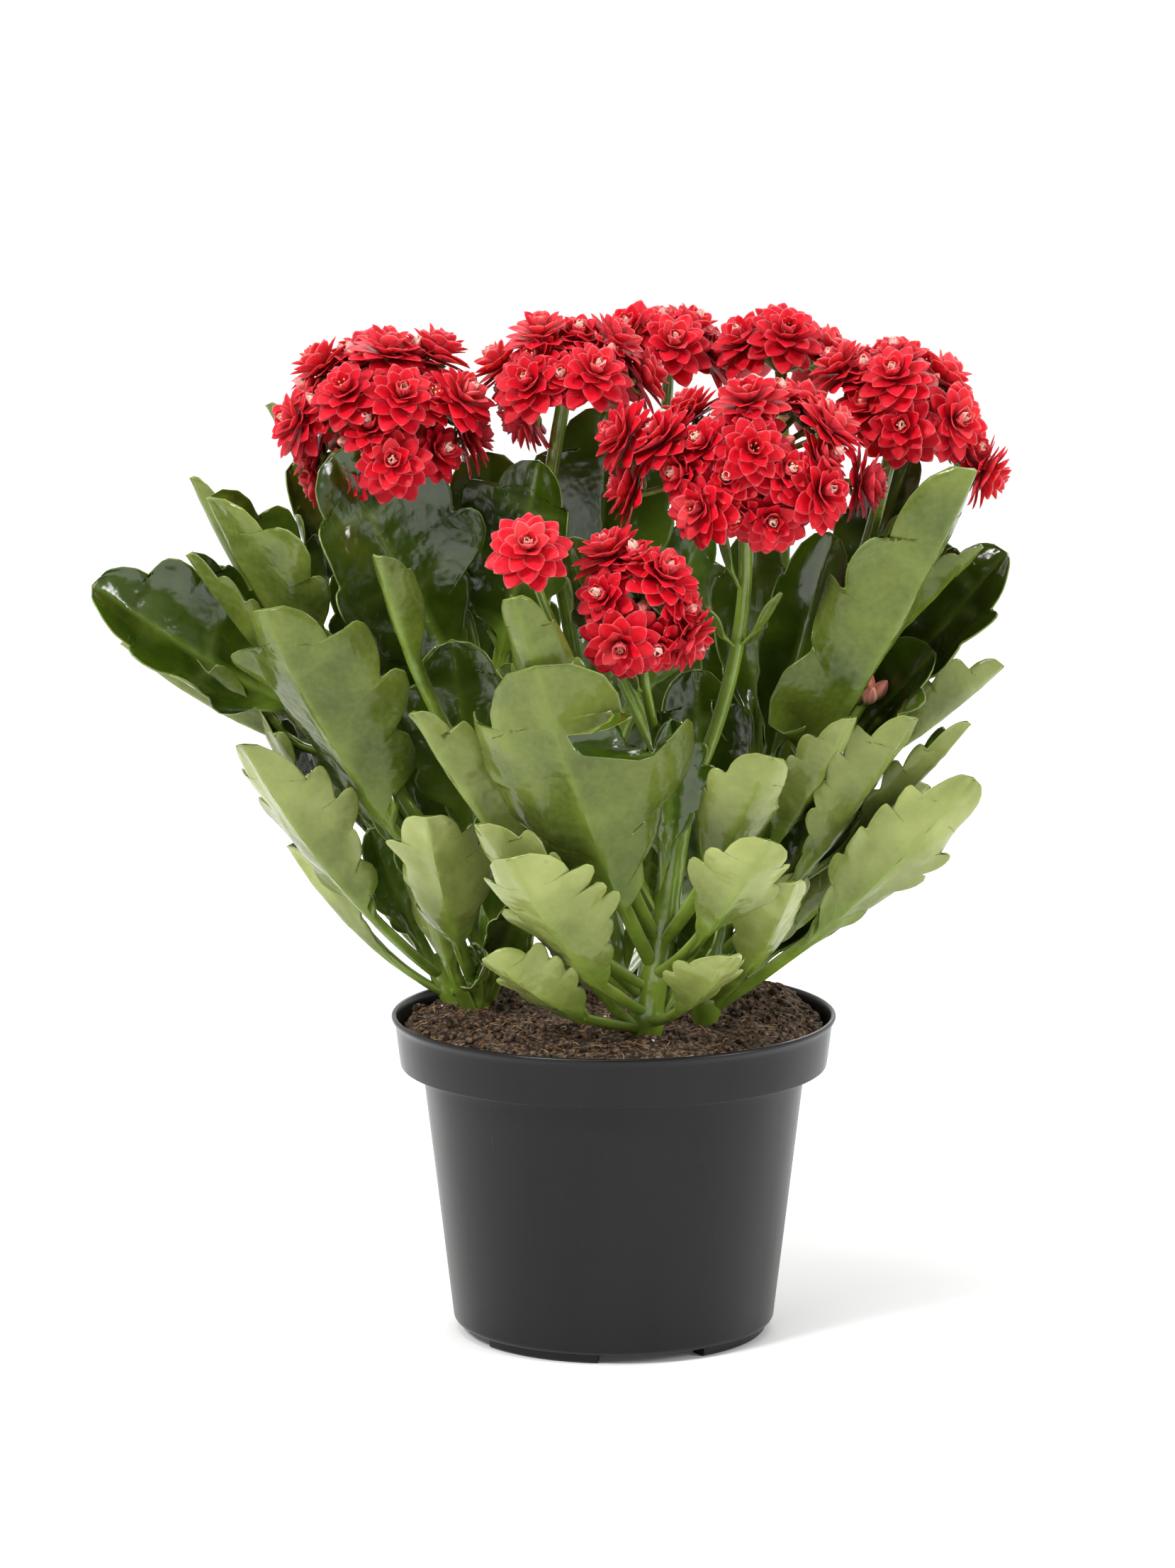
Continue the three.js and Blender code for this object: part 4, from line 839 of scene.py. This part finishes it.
class Shader:
    """A material under construction: a principled surface and the nodes that feed it."""

    def __init__(self, name, **settings):
        self.material = bpy.data.materials.new(name)
        self.material.use_nodes = True
        self.tree = self.material.node_tree
        self.surface = self.tree.nodes["Principled BSDF"]
        for key, value in settings.items():
            self.surface.inputs[key.replace("_", " ")].default_value = value

    def node(self, kind, inputs=(), **settings):
        made = self.tree.nodes.new("ShaderNode" + kind)
        for key, value in settings.items():
            setattr(made, key, value)
        for key, value in dict(inputs).items():
            self.put(made.inputs[key], value)
        return made

    def put(self, socket, value):
        """Sets a socket, or links it to a node's output or to the mesh's value of that name."""
        if isinstance(value, str):
            value = self.node("Attribute", attribute_name=value).outputs["Fac"]
        if isinstance(value, bpy.types.NodeSocket):
            self.tree.links.new(value, socket)
        else:
            socket.default_value = value

    def noise(self, size, detail=3.0, stretch=(1, 1, 1)):
        """Noise with features of a size in millimetres."""
        place = self.node("TexCoord").outputs["Object"]
        scaled = self.node("Mapping", {"Vector": place, "Scale": stretch}).outputs["Vector"]
        made = self.node("TexNoise", {"Vector": scaled, "Scale": 1 / (size * MM), "Detail": detail})
        return made.outputs["Fac"]

    def ramp(self, value, *stops):
        """Greys or screen colours by a value, from stops of a place and one or three numbers."""
        made = self.node("ValToRGB", {"Fac": value})
        line = made.color_ramp.elements
        while len(line) < len(stops):
            line.new(0.5)
        for element, (place, *tone) in zip(line, stops):
            element.position = place
            element.color = srgb(*tone) if len(tone) == 3 else (*tone * 3, 1)
        return made.outputs["Color"]

    def rise(self, value, start, end, most):
        """Grey that rises from 0 at the start to its most at the end."""
        return self.ramp(value, (start, 0.0), (end, most))

    def blend(self, share, first, second):
        made = self.node("Mix", {0: share, 6: first, 7: second}, data_type="RGBA")
        return made.outputs[2]

    def tint(self, colour, share, *tone):
        """Lays a screen colour over a colour."""
        return self.blend(share, colour, srgb(*tone))

    def combine(self, how, first, second):
        return self.node("Math", {0: first, 1: second}, operation=how).outputs[0]

    def times(self, first, second):
        return self.combine("MULTIPLY", first, second)

    def bump(self, height, strength, distance):
        made = self.node("Bump", {"Height": height, "Strength": strength, "Distance": distance * MM})
        self.put(self.surface.inputs["Normal"], made.outputs["Normal"])

    def done(self, colour, roughness):
        self.put(self.surface.inputs["Base Color"], colour)
        self.put(self.surface.inputs["Roughness"], roughness)
        return self.material


def srgb(red, green, blue):
    """Linear colour of a colour given in screen values from 0 to 255."""
    linear = [((v / 255 + 0.055) / 1.055) ** 2.4 if v > 10 else v / 3294.6 for v in (red, green, blue)]
    return (*linear, 1.0)


def leaf_material(name, **gloss):
    """Fleshy leaf: dark and glossy above, paler beneath, with pale rims that are in part a painted highlight,
    and a yellow-green stalk.
    """
    s = Shader(name, IOR=1.5, Subsurface_Weight=0.08, Subsurface_Scale=0.0012,
               Subsurface_Radius=(0.6, 1.0, 0.2), **gloss)
    cloudy, fine, patchy = s.noise(16), s.noise(1.6, 5), s.noise(9)
    top = s.ramp(cloudy, (0.3, 34, 50, 6), (0.7, 60, 80, 12))
    young = s.ramp(cloudy, (0.3, 70, 98, 20), (0.7, 96, 122, 36))
    top = s.blend(s.rise("tone", 0.45, 0.95, 0.75), top, young)
    green = s.ramp(cloudy, (0.28, 46, 64, 4), (0.72, 88, 104, 16))
    bloom = s.ramp(cloudy, (0.28, 128, 138, 64), (0.72, 160, 168, 100))
    pale = s.combine("ADD", s.times("pale", 0.8), 0.16)
    # Undersides run from dark green at the base of the blade to the pale bloom towards the tip: partly the
    # leaf's own colour, partly painted shade deep among the leaves
    below = s.blend(s.times(s.ramp("reach", (0.05, 0.1), (0.85, 1.0)), pale), green, bloom)
    below = s.tint(below, s.rise(fine, 0.35, 0.75, 0.1), 166, 174, 124)
    colour = s.blend("under", top, below)
    colour = s.tint(colour, s.rise("vein", 0.1, 1.0, 0.22), 146, 164, 84)
    stalk = s.ramp(patchy, (0.3, 98, 124, 34), (0.7, 126, 150, 54))
    colour = s.blend(s.rise("stalk", 0.15, 0.95, 0.95), colour, stalk)
    # Pale margin along the rounded rim: partly the leaf's own paler edge, partly a painted highlight
    colour = s.tint(colour, s.rise("rim", 0.55, 0.95, 0.45), 158, 174, 100)
    colour = s.tint(colour, s.times(s.rise(s.noise(3.2, 2), 0.7, 0.76, 0.4), 0.5), 84, 88, 42)
    dry = s.times("spot", s.rise(s.noise(2.4, 4), 0.36, 0.46, 1.0))
    colour = s.tint(colour, s.times(dry, 0.8), 98, 82, 34)
    notch = s.times(s.rise("notch", 0.7, 0.97, 0.5), s.rise(patchy, 0.5, 0.62, 1.0))
    colour = s.tint(colour, notch, 88, 76, 42)
    rough = s.ramp("under", (0.0, 0.12), (1.0, 0.16))
    rough = s.blend(s.rise(fine, 0.3, 0.7, 0.2), rough, (0.4, 0.4, 0.4, 1))
    s.bump(s.combine("ADD", s.times(s.noise(0.9, 4), 0.3), s.times(s.noise(7, 2), 6.0)), 0.35, 0.35)
    return s.done(colour, rough)


def petal_material():
    """Petal: bright red with pinker, paler tips, edges and backs, and a pale heart."""
    s = Shader("petal_red", IOR=1.4, Subsurface_Weight=0.4, Subsurface_Scale=0.0014,
               Subsurface_Radius=(1.0, 0.3, 0.25), Specular_IOR_Level=0.3)
    streak = s.noise(1.1, 4)
    red = s.ramp("tone", (0.1, 184, 2, 24), (0.9, 216, 8, 34))
    red = s.tint(red, s.rise(streak, 0.35, 0.7, 0.22), 228, 52, 72)
    red = s.tint(red, s.ramp("tip", (0.0, 0.65), (0.5, 0.0)), 158, 6, 26)
    back = s.ramp(streak, (0.3, 200, 44, 62), (0.7, 222, 84, 94))
    colour = s.blend(s.times("back", 0.8), red, back)
    heart = s.ramp(streak, (0.3, 238, 150, 138), (0.7, 250, 226, 208))
    colour = s.blend(s.rise("heart", 0.7, 0.95, 0.88), colour, heart)
    faded = s.times(s.rise("heart", 0.3, 0.8, 0.6), s.rise("tone", 0.5, 0.9, 1.0))
    colour = s.tint(colour, faded, 240, 132, 130)
    margin = s.combine("MAXIMUM", s.rise("edge", 0.88, 1.0, 0.3), s.rise("tip", 0.9, 1.0, 0.4))
    colour = s.tint(colour, margin, 244, 122, 124)
    s.bump(s.noise(0.5, 3, (1, 1, 0.4)), 0.25, 0.15)
    return s.done(colour, s.ramp(streak, (0.3, 0.42), (0.7, 0.6)))


def green_material():
    """Thin flower stalks and sepals, and the small yellow anthers."""
    s = Shader("flower_green", IOR=1.4, Subsurface_Weight=0.1, Subsurface_Scale=0.0008)
    green = s.ramp(s.noise(2.2), (0.3, 92, 112, 40), (0.7, 136, 156, 74))
    green = s.tint(green, s.times("tone", 0.5), 150, 150, 84)
    s.bump(s.noise(0.6), 0.2, 0.12)
    return s.done(s.tint(green, "bare", 222, 190, 130), s.ramp(s.noise(1.5), (0.3, 0.4), (0.7, 0.55)))


def bud_material():
    """Closed bud: salmon pink, greener at its foot and darker in its folds."""
    s = Shader("bud_pink", IOR=1.4, Subsurface_Weight=0.15, Subsurface_Scale=0.0008)
    pink = s.ramp("tone", (0.1, 196, 92, 84), (0.9, 232, 158, 140))
    pink = s.tint(pink, s.rise("edge", 0.5, 1.0, 0.55), 150, 40, 52)
    colour = s.tint(pink, s.ramp("tip", (0.1, 0.8), (0.6, 0.0)), 150, 160, 92)
    s.bump(s.noise(0.6), 0.25, 0.12)
    return s.done(colour, s.ramp(s.noise(1.4), (0.3, 0.4), (0.7, 0.55)))


def soil_material():
    """Peat: dark brown crumbs with reddish, tan and a few white bits."""
    s = Shader("peat", IOR=1.4, Specular_IOR_Level=0.25)
    dark = s.ramp(s.noise(1.3, 6), (0.34, 30, 24, 20), (0.5, 70, 56, 45), (0.66, 126, 106, 86))
    colour = s.tint(dark, s.times(s.rise(s.noise(3.5, 4), 0.55, 0.72, 0.5), 0.4), 88, 54, 38)
    colour = s.blend("tan", colour, s.ramp("tone", (0.2, 126, 82, 52), (0.9, 176, 144, 106)))
    colour = s.tint(colour, "pale", 214, 206, 190)
    s.bump(s.noise(0.55, 6), 0.7, 0.5)
    return s.done(colour, s.ramp(s.noise(1.0), (0.3, 0.78), (0.7, 0.95)))


def pot_material():
    """Moulded plastic: satin anthracite with faint flow marks, specks and fine scratches."""
    s = Shader("pot_plastic", IOR=1.46, Specular_IOR_Level=0.3)
    flow = s.noise(14, 3, (1, 1, 0.22))
    colour = s.ramp(flow, (0.3, 11, 11, 13), (0.7, 17, 17, 19))
    colour = s.tint(colour, s.rise(s.noise(2.0, 8, (1, 1, 0.08)), 0.7, 0.76, 0.08), 96, 97, 100)
    colour = s.tint(colour, s.rise(s.noise(0.8, 2), 0.78, 0.82, 0.3), 120, 120, 120)
    s.bump(s.combine("ADD", s.noise(0.35, 2), s.times(flow, 0.6)), 0.12, 0.12)
    return s.done(colour, s.ramp(flow, (0.3, 0.27), (0.7, 0.36)))


def floor_material():
    """White floor that shines a little by itself far from the object, as a lit sweep does."""
    s = Shader("studio_floor", Specular_IOR_Level=0.1, Emission_Color=(1, 1, 1, 1))
    colour = s.ramp(s.noise(400), (0.3, 240, 240, 239), (0.7, 243, 243, 242))
    away = s.node("VectorMath", {0: s.node("TexCoord").outputs["Object"]}, operation="LENGTH")
    far = s.node("MapRange", {"Value": away.outputs["Value"], "From Min": 1.0, "From Max": 3.5,
                              "To Min": 0.04, "To Max": 0.45})
    s.put(s.surface.inputs["Emission Strength"], far.outputs["Result"])
    return s.done(colour, 0.8)


def arc(centre, radius, start, end, steps):
    """Points of an arc in the profile plane, from angle start to end in degrees."""
    return [(centre[0] + radius * math.cos(math.radians(a)), centre[1] + radius * math.sin(math.radians(a)))
            for a in np.linspace(start, end, steps)]


def turned_rings(profile, sectors):
    """A ring of points about the Z axis for each radius and height of a profile."""
    profile = np.array(profile, float)
    turn = circle(sectors)
    return np.stack([profile[:, :1] * np.cos(turn), profile[:, :1] * np.sin(turn),
                     profile[:, 1:] + 0 * turn], -1)


# Roundings of the pot, and how far below the top the roll of its rim ends
SOFT = 0.3
FOOT_SOFT = 0.5
LIP_CORNER = 0.55
RIM_ROLL = 0.7
ROLL_END = 2.4


def pot_profile():
    """Wall of the pot from the middle of its underside, up the outside, over the rim and down the inside."""
    slope = (BODY_TOP_RADIUS - BODY_BOTTOM_RADIUS) / (LEDGE - FOOT_HEIGHT)
    disc = CENTRE_DISC + CORNER
    lip_inside, body_inside = LIP_BOTTOM_RADIUS - WALL, BODY_BOTTOM_RADIUS - WALL
    return [
        (0, 0), (CENTRE_DISC - SOFT, 0), (CENTRE_DISC + SOFT, SOFT),
        (disc - SOFT, FOOT_HEIGHT - SOFT), (disc + SOFT, FOOT_HEIGHT),
        *arc((BODY_BOTTOM_RADIUS - CORNER, FOOT_HEIGHT + CORNER), CORNER, -90, 0, 8),
        *((BODY_BOTTOM_RADIUS + slope * (h - FOOT_HEIGHT - CORNER), h) for h in (12, 22, 32, 42, 52, 62, 69)),
        (BODY_TOP_RADIUS - 0.5, LEDGE - 1.2), (BODY_TOP_RADIUS - 0.1, LEDGE - 0.4),
        (BODY_TOP_RADIUS + 0.4, LEDGE), (LIP_BOTTOM_RADIUS - 0.8, LEDGE),
        *arc((LIP_BOTTOM_RADIUS - LIP_CORNER, LEDGE + LIP_CORNER), LIP_CORNER, -90, 0, 5),
        *((mix(LIP_BOTTOM_RADIUS, RIM_RADIUS - 1, t), mix(LEDGE, POT_HEIGHT - ROLL_END, t))
          for t in (0.25, 0.5, 0.75, 0.95)),
        (RIM_RADIUS - 0.75, POT_HEIGHT - 1.9), (RIM_RADIUS - 0.3, POT_HEIGHT - 1.5),
        *arc((RIM_RADIUS - RIM_ROLL, POT_HEIGHT - RIM_ROLL), RIM_ROLL, -30, 150, 9),
        (RIM_RADIUS - 1.7, POT_HEIGHT - 2.2), (RIM_RADIUS - 2.6, LEDGE + 6),
        (lip_inside, LEDGE + WALL + 0.6), (lip_inside - 0.6, LEDGE + WALL),
        (BODY_TOP_RADIUS - WALL, LEDGE + WALL / 2), (body_inside, FLOOR_TOP + CORNER),
        (body_inside - CORNER, FLOOR_TOP), (0, FLOOR_TOP),
    ]


def foot_tool(material, start):
    """One foot arc from a start angle, with soft lower edges and its ends closed."""
    top = FOOT_HEIGHT + WALL / 2
    section = np.array([(FOOT_INNER, top), (FOOT_INNER, FOOT_SOFT), (FOOT_INNER + FOOT_SOFT, 0),
                        (FOOT_OUTER - FOOT_SOFT, 0), (FOOT_OUTER, FOOT_SOFT), (FOOT_OUTER, top)], float)
    end = np.broadcast_to(section.mean(0), section.shape)
    steps = [(0, end), *((k / 12, section) for k in range(13)), (1, end)]
    loops = [spun(np.insert(ring, 1, 0, axis=1), math.radians(FOOT_SPAN * share)) for share, ring in steps]
    foot = Skin("foot")
    foot.add(spun(np.concatenate(loops), start), grid(len(loops), len(section), closed=True))
    return foot.build([material])


def drain_tool(material, angle):
    """The cylinder that cuts one drain hole."""
    x, y = DRAIN_RING * math.cos(angle), DRAIN_RING * math.sin(angle)
    drill = Skin("drill")
    drill.add_tube([(x, y, -4), (x, y, -4), (x, y, 8), (x, y, 8)], [0, DRAIN_RADIUS, DRAIN_RADIUS, 0], 32)
    return drill.build([material])


def make_pot(material):
    """The pot as a turned shell with a rolled rim, foot arcs and drain holes."""
    rings = turned_rings(pot_profile(), POT_SECTORS)
    skin = Skin("pot_shell")
    skin.add(rings, grid(len(rings), POT_SECTORS, closed=True))
    pot = skin.build([material])
    for i in range(FEET):
        cut(pot, foot_tool(material, math.radians(FOOT_START) + i / FEET * TAU), "UNION")
    for i in range(DRAIN_HOLES):
        cut(pot, drain_tool(material, i / DRAIN_HOLES * TAU), "DIFFERENCE")
    pot.data.set_sharp_from_angle(angle=math.radians(POT_SHARP_ANGLE))
    return pot


def cut(piece, tool, how):
    """Joins the tool to the piece or cuts it away, and removes the tool."""
    modifier = piece.modifiers.new("shape", "BOOLEAN")
    modifier.operation = how
    modifier.solver = "EXACT"
    modifier.object = tool
    shaped = bpy.data.meshes.new_from_object(piece.evaluated_get(bpy.context.evaluated_depsgraph_get()))
    piece.modifiers.clear()
    piece.data = shaped
    bpy.data.objects.remove(tool)


# Grain of the soil: rings and sectors of its surface, and its loose crumbs and fibres with their sizes
SOIL_RINGS = 64
SOIL_SECTORS = 200
CRUMBS = 1400
CRUMB_SIZES = (0.45, 1.6)
BALL_ROWS = 5
BALL_COLUMNS = 7
FIBRES = 420
FIBRE_LENGTHS = (2, 7)
FIBRE_RADIUS = 0.16


def soil_top(x, y):
    """Height of the soil without its crumbs."""
    away = ((x - SOIL_HEAP.x) ** 2 + (y - SOIL_HEAP.y) ** 2) / (2 * SOIL_HEAP.spread ** 2)
    heap = SOIL_HEAP.height * np.exp(-away)
    ripple = np.sin(x * 0.31 + 1) * np.cos(y * 0.27) + 0.7 * np.sin(x * 0.13 - y * 0.19)
    edge = np.maximum(0, 5 * np.hypot(x, y) / SOIL_RADIUS - 4)
    return SOIL_LEVEL + heap + SOIL_RIPPLE * ripple - SOIL_EDGE_DIP * edge


def crumb_height(x, y):
    """Height of the crumbly surface."""
    x, y = np.asarray(x), np.asarray(y)
    flat = np.stack([x, y, 0 * x], -1).reshape(-1, 3)
    rough = 0.75 * noise(flat, 5.2, 1) + 0.65 * noise(flat, 2.3, 2) + 0.3 * noise(flat, 1.1, 3)
    return soil_top(x, y) - 0.3 + rough.reshape(x.shape)


def scattered(share, i, key):
    """Where a crumb or fibre lies, anywhere within a share of the soil's radius."""
    far = SOIL_RADIUS * share * math.sqrt(draw(i, key))
    angle = draw(i, key + 1) * TAU
    return far * math.cos(angle), far * math.sin(angle)


def add_crumbs(skin):
    """Loose crumbs, some of them tan and a few white."""
    polar = np.linspace(0, math.pi, BALL_ROWS)
    ball = turned_rings(np.stack([np.sin(polar), np.cos(polar)], -1), BALL_COLUMNS).reshape(-1, 3)
    triangles = grid(BALL_ROWS, BALL_COLUMNS, closed=True, turned=True)
    for i in range(CRUMBS):
        x, y = scattered(0.985, i, 1)
        size = mix(*CRUMB_SIZES, draw(i, 3) ** 3)
        stretch = np.array([1, mix(0.6, 1, draw(i, 4)), mix(0.5, 0.9, draw(i, 5))])
        turn = turned_to([draw(i, 6) - 0.5, draw(i, 7) - 0.5, 0.6])
        bumpy = ball * (1 + 0.3 * noise(ball + i * 3.7, 0.7, 4))[:, None]
        z = float(crumb_height(x, y)) + size * 0.35
        kind = draw(i, 8)
        skin.add((bumpy * stretch * size) @ turn.T + [x, y, z], triangles,
                 tan=0.8 if kind > 0.95 and size < 0.8 else 0.0,
                 pale=1.0 if kind < 0.01 and size < 0.7 else 0.0, tone=draw(i, 9))


def add_fibres(skin):
    """Thin tan fibres that lie on the soil in low arches."""
    for i in range(FIBRES):
        root_x, root_y = scattered(0.98, i, 11)
        heading = draw(i, 13) * TAU
        length = mix(*FIBRE_LENGTHS, draw(i, 14) ** 1.5)
        line = []
        for step in np.linspace(0, 1, 6):
            bend = heading + 1.2 * (draw(i, 15) - 0.5) * step
            x = root_x + length * step * math.cos(bend)
            y = root_y + length * step * math.sin(bend)
            if math.hypot(x, y) > SOIL_RADIUS - 0.6:
                break
            arch = 0.8 * draw(i, 16) * math.sin(step * math.pi)
            line.append((x, y, float(crumb_height(x, y)) + 0.3 + arch))
        if len(line) > 3:
            skin.add_tube(line, [0.02] + [FIBRE_RADIUS] * (len(line) - 2) + [0.02], 4,
                          tan=0.9, tone=draw(i, 17))


def make_soil(material):
    """Peat that fills the pot: a crumbly top with loose crumbs, fibres and pale bits, and plain sides."""
    skin = Skin("peat_soil", ["tan", "pale", "tone"])
    walls = [(0, FLOOR_TOP + 0.3), (BODY_BOTTOM_RADIUS - WALL - CORNER - 0.4, FLOOR_TOP + 0.3),
             (BODY_BOTTOM_RADIUS - WALL - 0.5, FLOOR_TOP + CORNER),
             (BODY_TOP_RADIUS - WALL - 0.5, LEDGE + WALL / 2),
             (LIP_BOTTOM_RADIUS - WALL - 0.8, LEDGE + WALL + 0.3)]
    radius = (SOIL_RADIUS * np.linspace(1, 0, SOIL_RINGS) ** 0.8)[:, None]
    x, y = radius * np.cos(circle(SOIL_SECTORS)), radius * np.sin(circle(SOIL_SECTORS))
    surface = np.stack([x, y, crumb_height(x, y)], -1)
    points = np.concatenate([turned_rings(walls, SOIL_SECTORS), surface])
    skin.add(points, grid(len(points), SOIL_SECTORS, closed=True), tone=0.5)
    add_crumbs(skin)
    add_fibres(skin)
    return skin.build([material])


# Camera at the photograph's angle: 10 degrees down, 1.8 m from the middle of the plant
CAMERA_DISTANCE = 1.8
CAMERA_PITCH = 10
CAMERA_TARGET = (0, 0, 0.1495)
FRAME_SPAN = 0.4207
SENSOR = 36
SHIFT_X = -0.0167

# Lights: name, place, aim, size and power
LIGHTS = [
    ("key", (-1.1, -1.2, 1.5), (0, 0, 0.15), 0.5, 34),
    ("side", (1.4, -0.7, 0.7), (0, 0, 0.15), 0.5, 12),
    ("back", (0.3, 1.4, 1.1), (0, 0, 0.2), 1.0, 8),
    ("top", (-0.2, -0.5, 1.9), (0, 0, 0.2), 1.0, 14),
]
ROOM_LIGHT = 0.08
WALL_LIGHT = 1.0
FLOOR_REACH = 20000


def area_light(name, location, target, size, power):
    data = bpy.data.lights.new(name, "AREA")
    data.shape = "DISK"
    data.size = size
    data.energy = power
    lamp = bpy.data.objects.new(name, data)
    lamp.location = location
    aim = np.array(target) - np.array(location)
    lamp.rotation_euler = (math.acos(-aim[2] / np.linalg.norm(aim)), 0, math.atan2(-aim[0], aim[1]))
    bpy.context.scene.collection.objects.link(lamp)


def studio_world():
    """White walls behind and beside the object, and a darker room behind the viewer."""
    world = bpy.data.worlds.new("studio")
    world.use_nodes = True
    nodes = world.node_tree.nodes
    coordinates = nodes.new("ShaderNodeTexCoord")
    parts = nodes.new("ShaderNodeSeparateXYZ")
    ramp = nodes.new("ShaderNodeMapRange")
    ends = {"From Min": -0.95, "From Max": 0.1, "To Min": ROOM_LIGHT, "To Max": WALL_LIGHT}
    for key, value in ends.items():
        ramp.inputs[key].default_value = value
    nodes["Background"].inputs["Color"].default_value = (1, 1, 1, 1)
    links = world.node_tree.links
    links.new(coordinates.outputs["Generated"], parts.inputs[0])
    links.new(parts.outputs["Y"], ramp.inputs["Value"])
    links.new(ramp.outputs["Result"], nodes["Background"].inputs["Strength"])
    return world


def studio():
    """Camera, lights, world and floor."""
    scene = bpy.context.scene
    scene.view_settings.view_transform = "Standard"
    data = bpy.data.cameras.new("camera")
    data.sensor_width = SENSOR
    data.lens = SENSOR * CAMERA_DISTANCE / FRAME_SPAN
    data.shift_x = SHIFT_X
    camera = bpy.data.objects.new("camera", data)
    pitch = math.radians(CAMERA_PITCH)
    camera.location = (CAMERA_TARGET[0], CAMERA_TARGET[1] - CAMERA_DISTANCE * math.cos(pitch),
                       CAMERA_TARGET[2] + CAMERA_DISTANCE * math.sin(pitch))
    camera.rotation_euler = (math.pi / 2 - pitch, 0, 0)
    scene.collection.objects.link(camera)
    scene.camera = camera
    scene.world = studio_world()
    for light in LIGHTS:
        area_light(*light)
    floor = Skin("studio_floor")
    corners = [(-1, -1, 0), (1, -1, 0), (1, 1, 0), (-1, 1, 0)]
    floor.add(np.array(corners) * FLOOR_REACH, [[0, 1, 2], [0, 2, 3]])
    floor.build([floor_material()])


def all_leaves():
    """The leaves placed from the photograph and in tiers, and then the small ones and the bracts."""
    rows = LEAVES + [row for index, tier in enumerate(BACK_TIERS) for row in tier_rows(tier, index)]
    small = [row + SMALL_LEAF_FORM for row in SMALL_LEAVES]
    small += [[*place, *BRACT_FACE, width, *BRACT_FORM] for *place, width in BRACTS]
    return ([leaf_from_row(row, seed) for seed, row in enumerate(rows)],
            [leaf_from_row(row, SMALL_LEAF_SEED + i) for i, row in enumerate(small)])


def make_stem(node, leaves, small, materials):
    """A rooted cutting: its stem, side shoots and flower stalks with all their leaves and bracts."""
    skin = Skin(node + "_leafy", LEAF_VALUES)
    for name, (owner, _, _) in AXES.items():
        if owner == node:
            add_stem(skin, name, leaves)
    for leaf in leaves + small:
        if AXES[leaf.axis][0] == node:
            add_leaf(skin, leaf)
    return skin.build(materials)


def make_head(node, index, materials):
    """A flower head: its florets, and smaller ones and closed buds between them."""
    stalk, hub, centres = HEADS[node]
    seed = index * HEAD_SEEDS
    skin = Skin(node + "_florets", FLOWER_VALUES)
    add_knuckle(skin, stalk, hub)
    for i, centre in enumerate(centres + JOINING_FLORETS.get(node, [])):
        add_floret(skin, hub, centre, seed + i)
    for i, (centre, bud) in enumerate(between(hub, centres)):
        if bud:
            add_bud(skin, centre, hub, BUD_RADIUS, seed + i + BUD_SEED)
        else:
            add_floret(skin, hub, centre, seed + i + SMALL_FLORET_SEED, SMALL_FLORET, LAYERS[1:])
    return skin.build(materials)


def make_bud_cluster(materials):
    skin = Skin("bud_cluster_closed", FLOWER_VALUES)
    for i, tip in enumerate(BUD_TIPS):
        add_bud(skin, tip, BUD_HUB, CLUSTER_BUD_RADIUS, i + CLUSTER_SEED)
    return skin.build(materials)


def assign(piece, slot, *nodes):
    """Hides the nodes that a piece replaces and attaches the piece to the body it rides; the slot is not
    used.
    """
    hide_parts(*nodes)
    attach(piece, BODY)


studio()
leaf_skins = [leaf_material("leaf_top", Coat_Weight=0.3, Coat_Roughness=0.12, Coat_IOR=1.5),
              leaf_material("leaf_under", Specular_IOR_Level=0.3)]
flower_skins = [petal_material(), green_material(), bud_material()]
placed_leaves, small_leaves = all_leaves()

assign(make_pot(pot_material()), "pot_plastic", "pot")
assign(make_soil(soil_material()), "peat_soil", "soil")
for stem in dict.fromkeys(axis[0] for axis in AXES.values()):
    assign(make_stem(stem, placed_leaves, small_leaves, leaf_skins), "leaf_green", stem)
for number, head in enumerate(HEADS):
    assign(make_head(head, number, flower_skins), "petal_red", head)
assign(make_bud_cluster(flower_skins), "bud_pink", "bud_cluster")
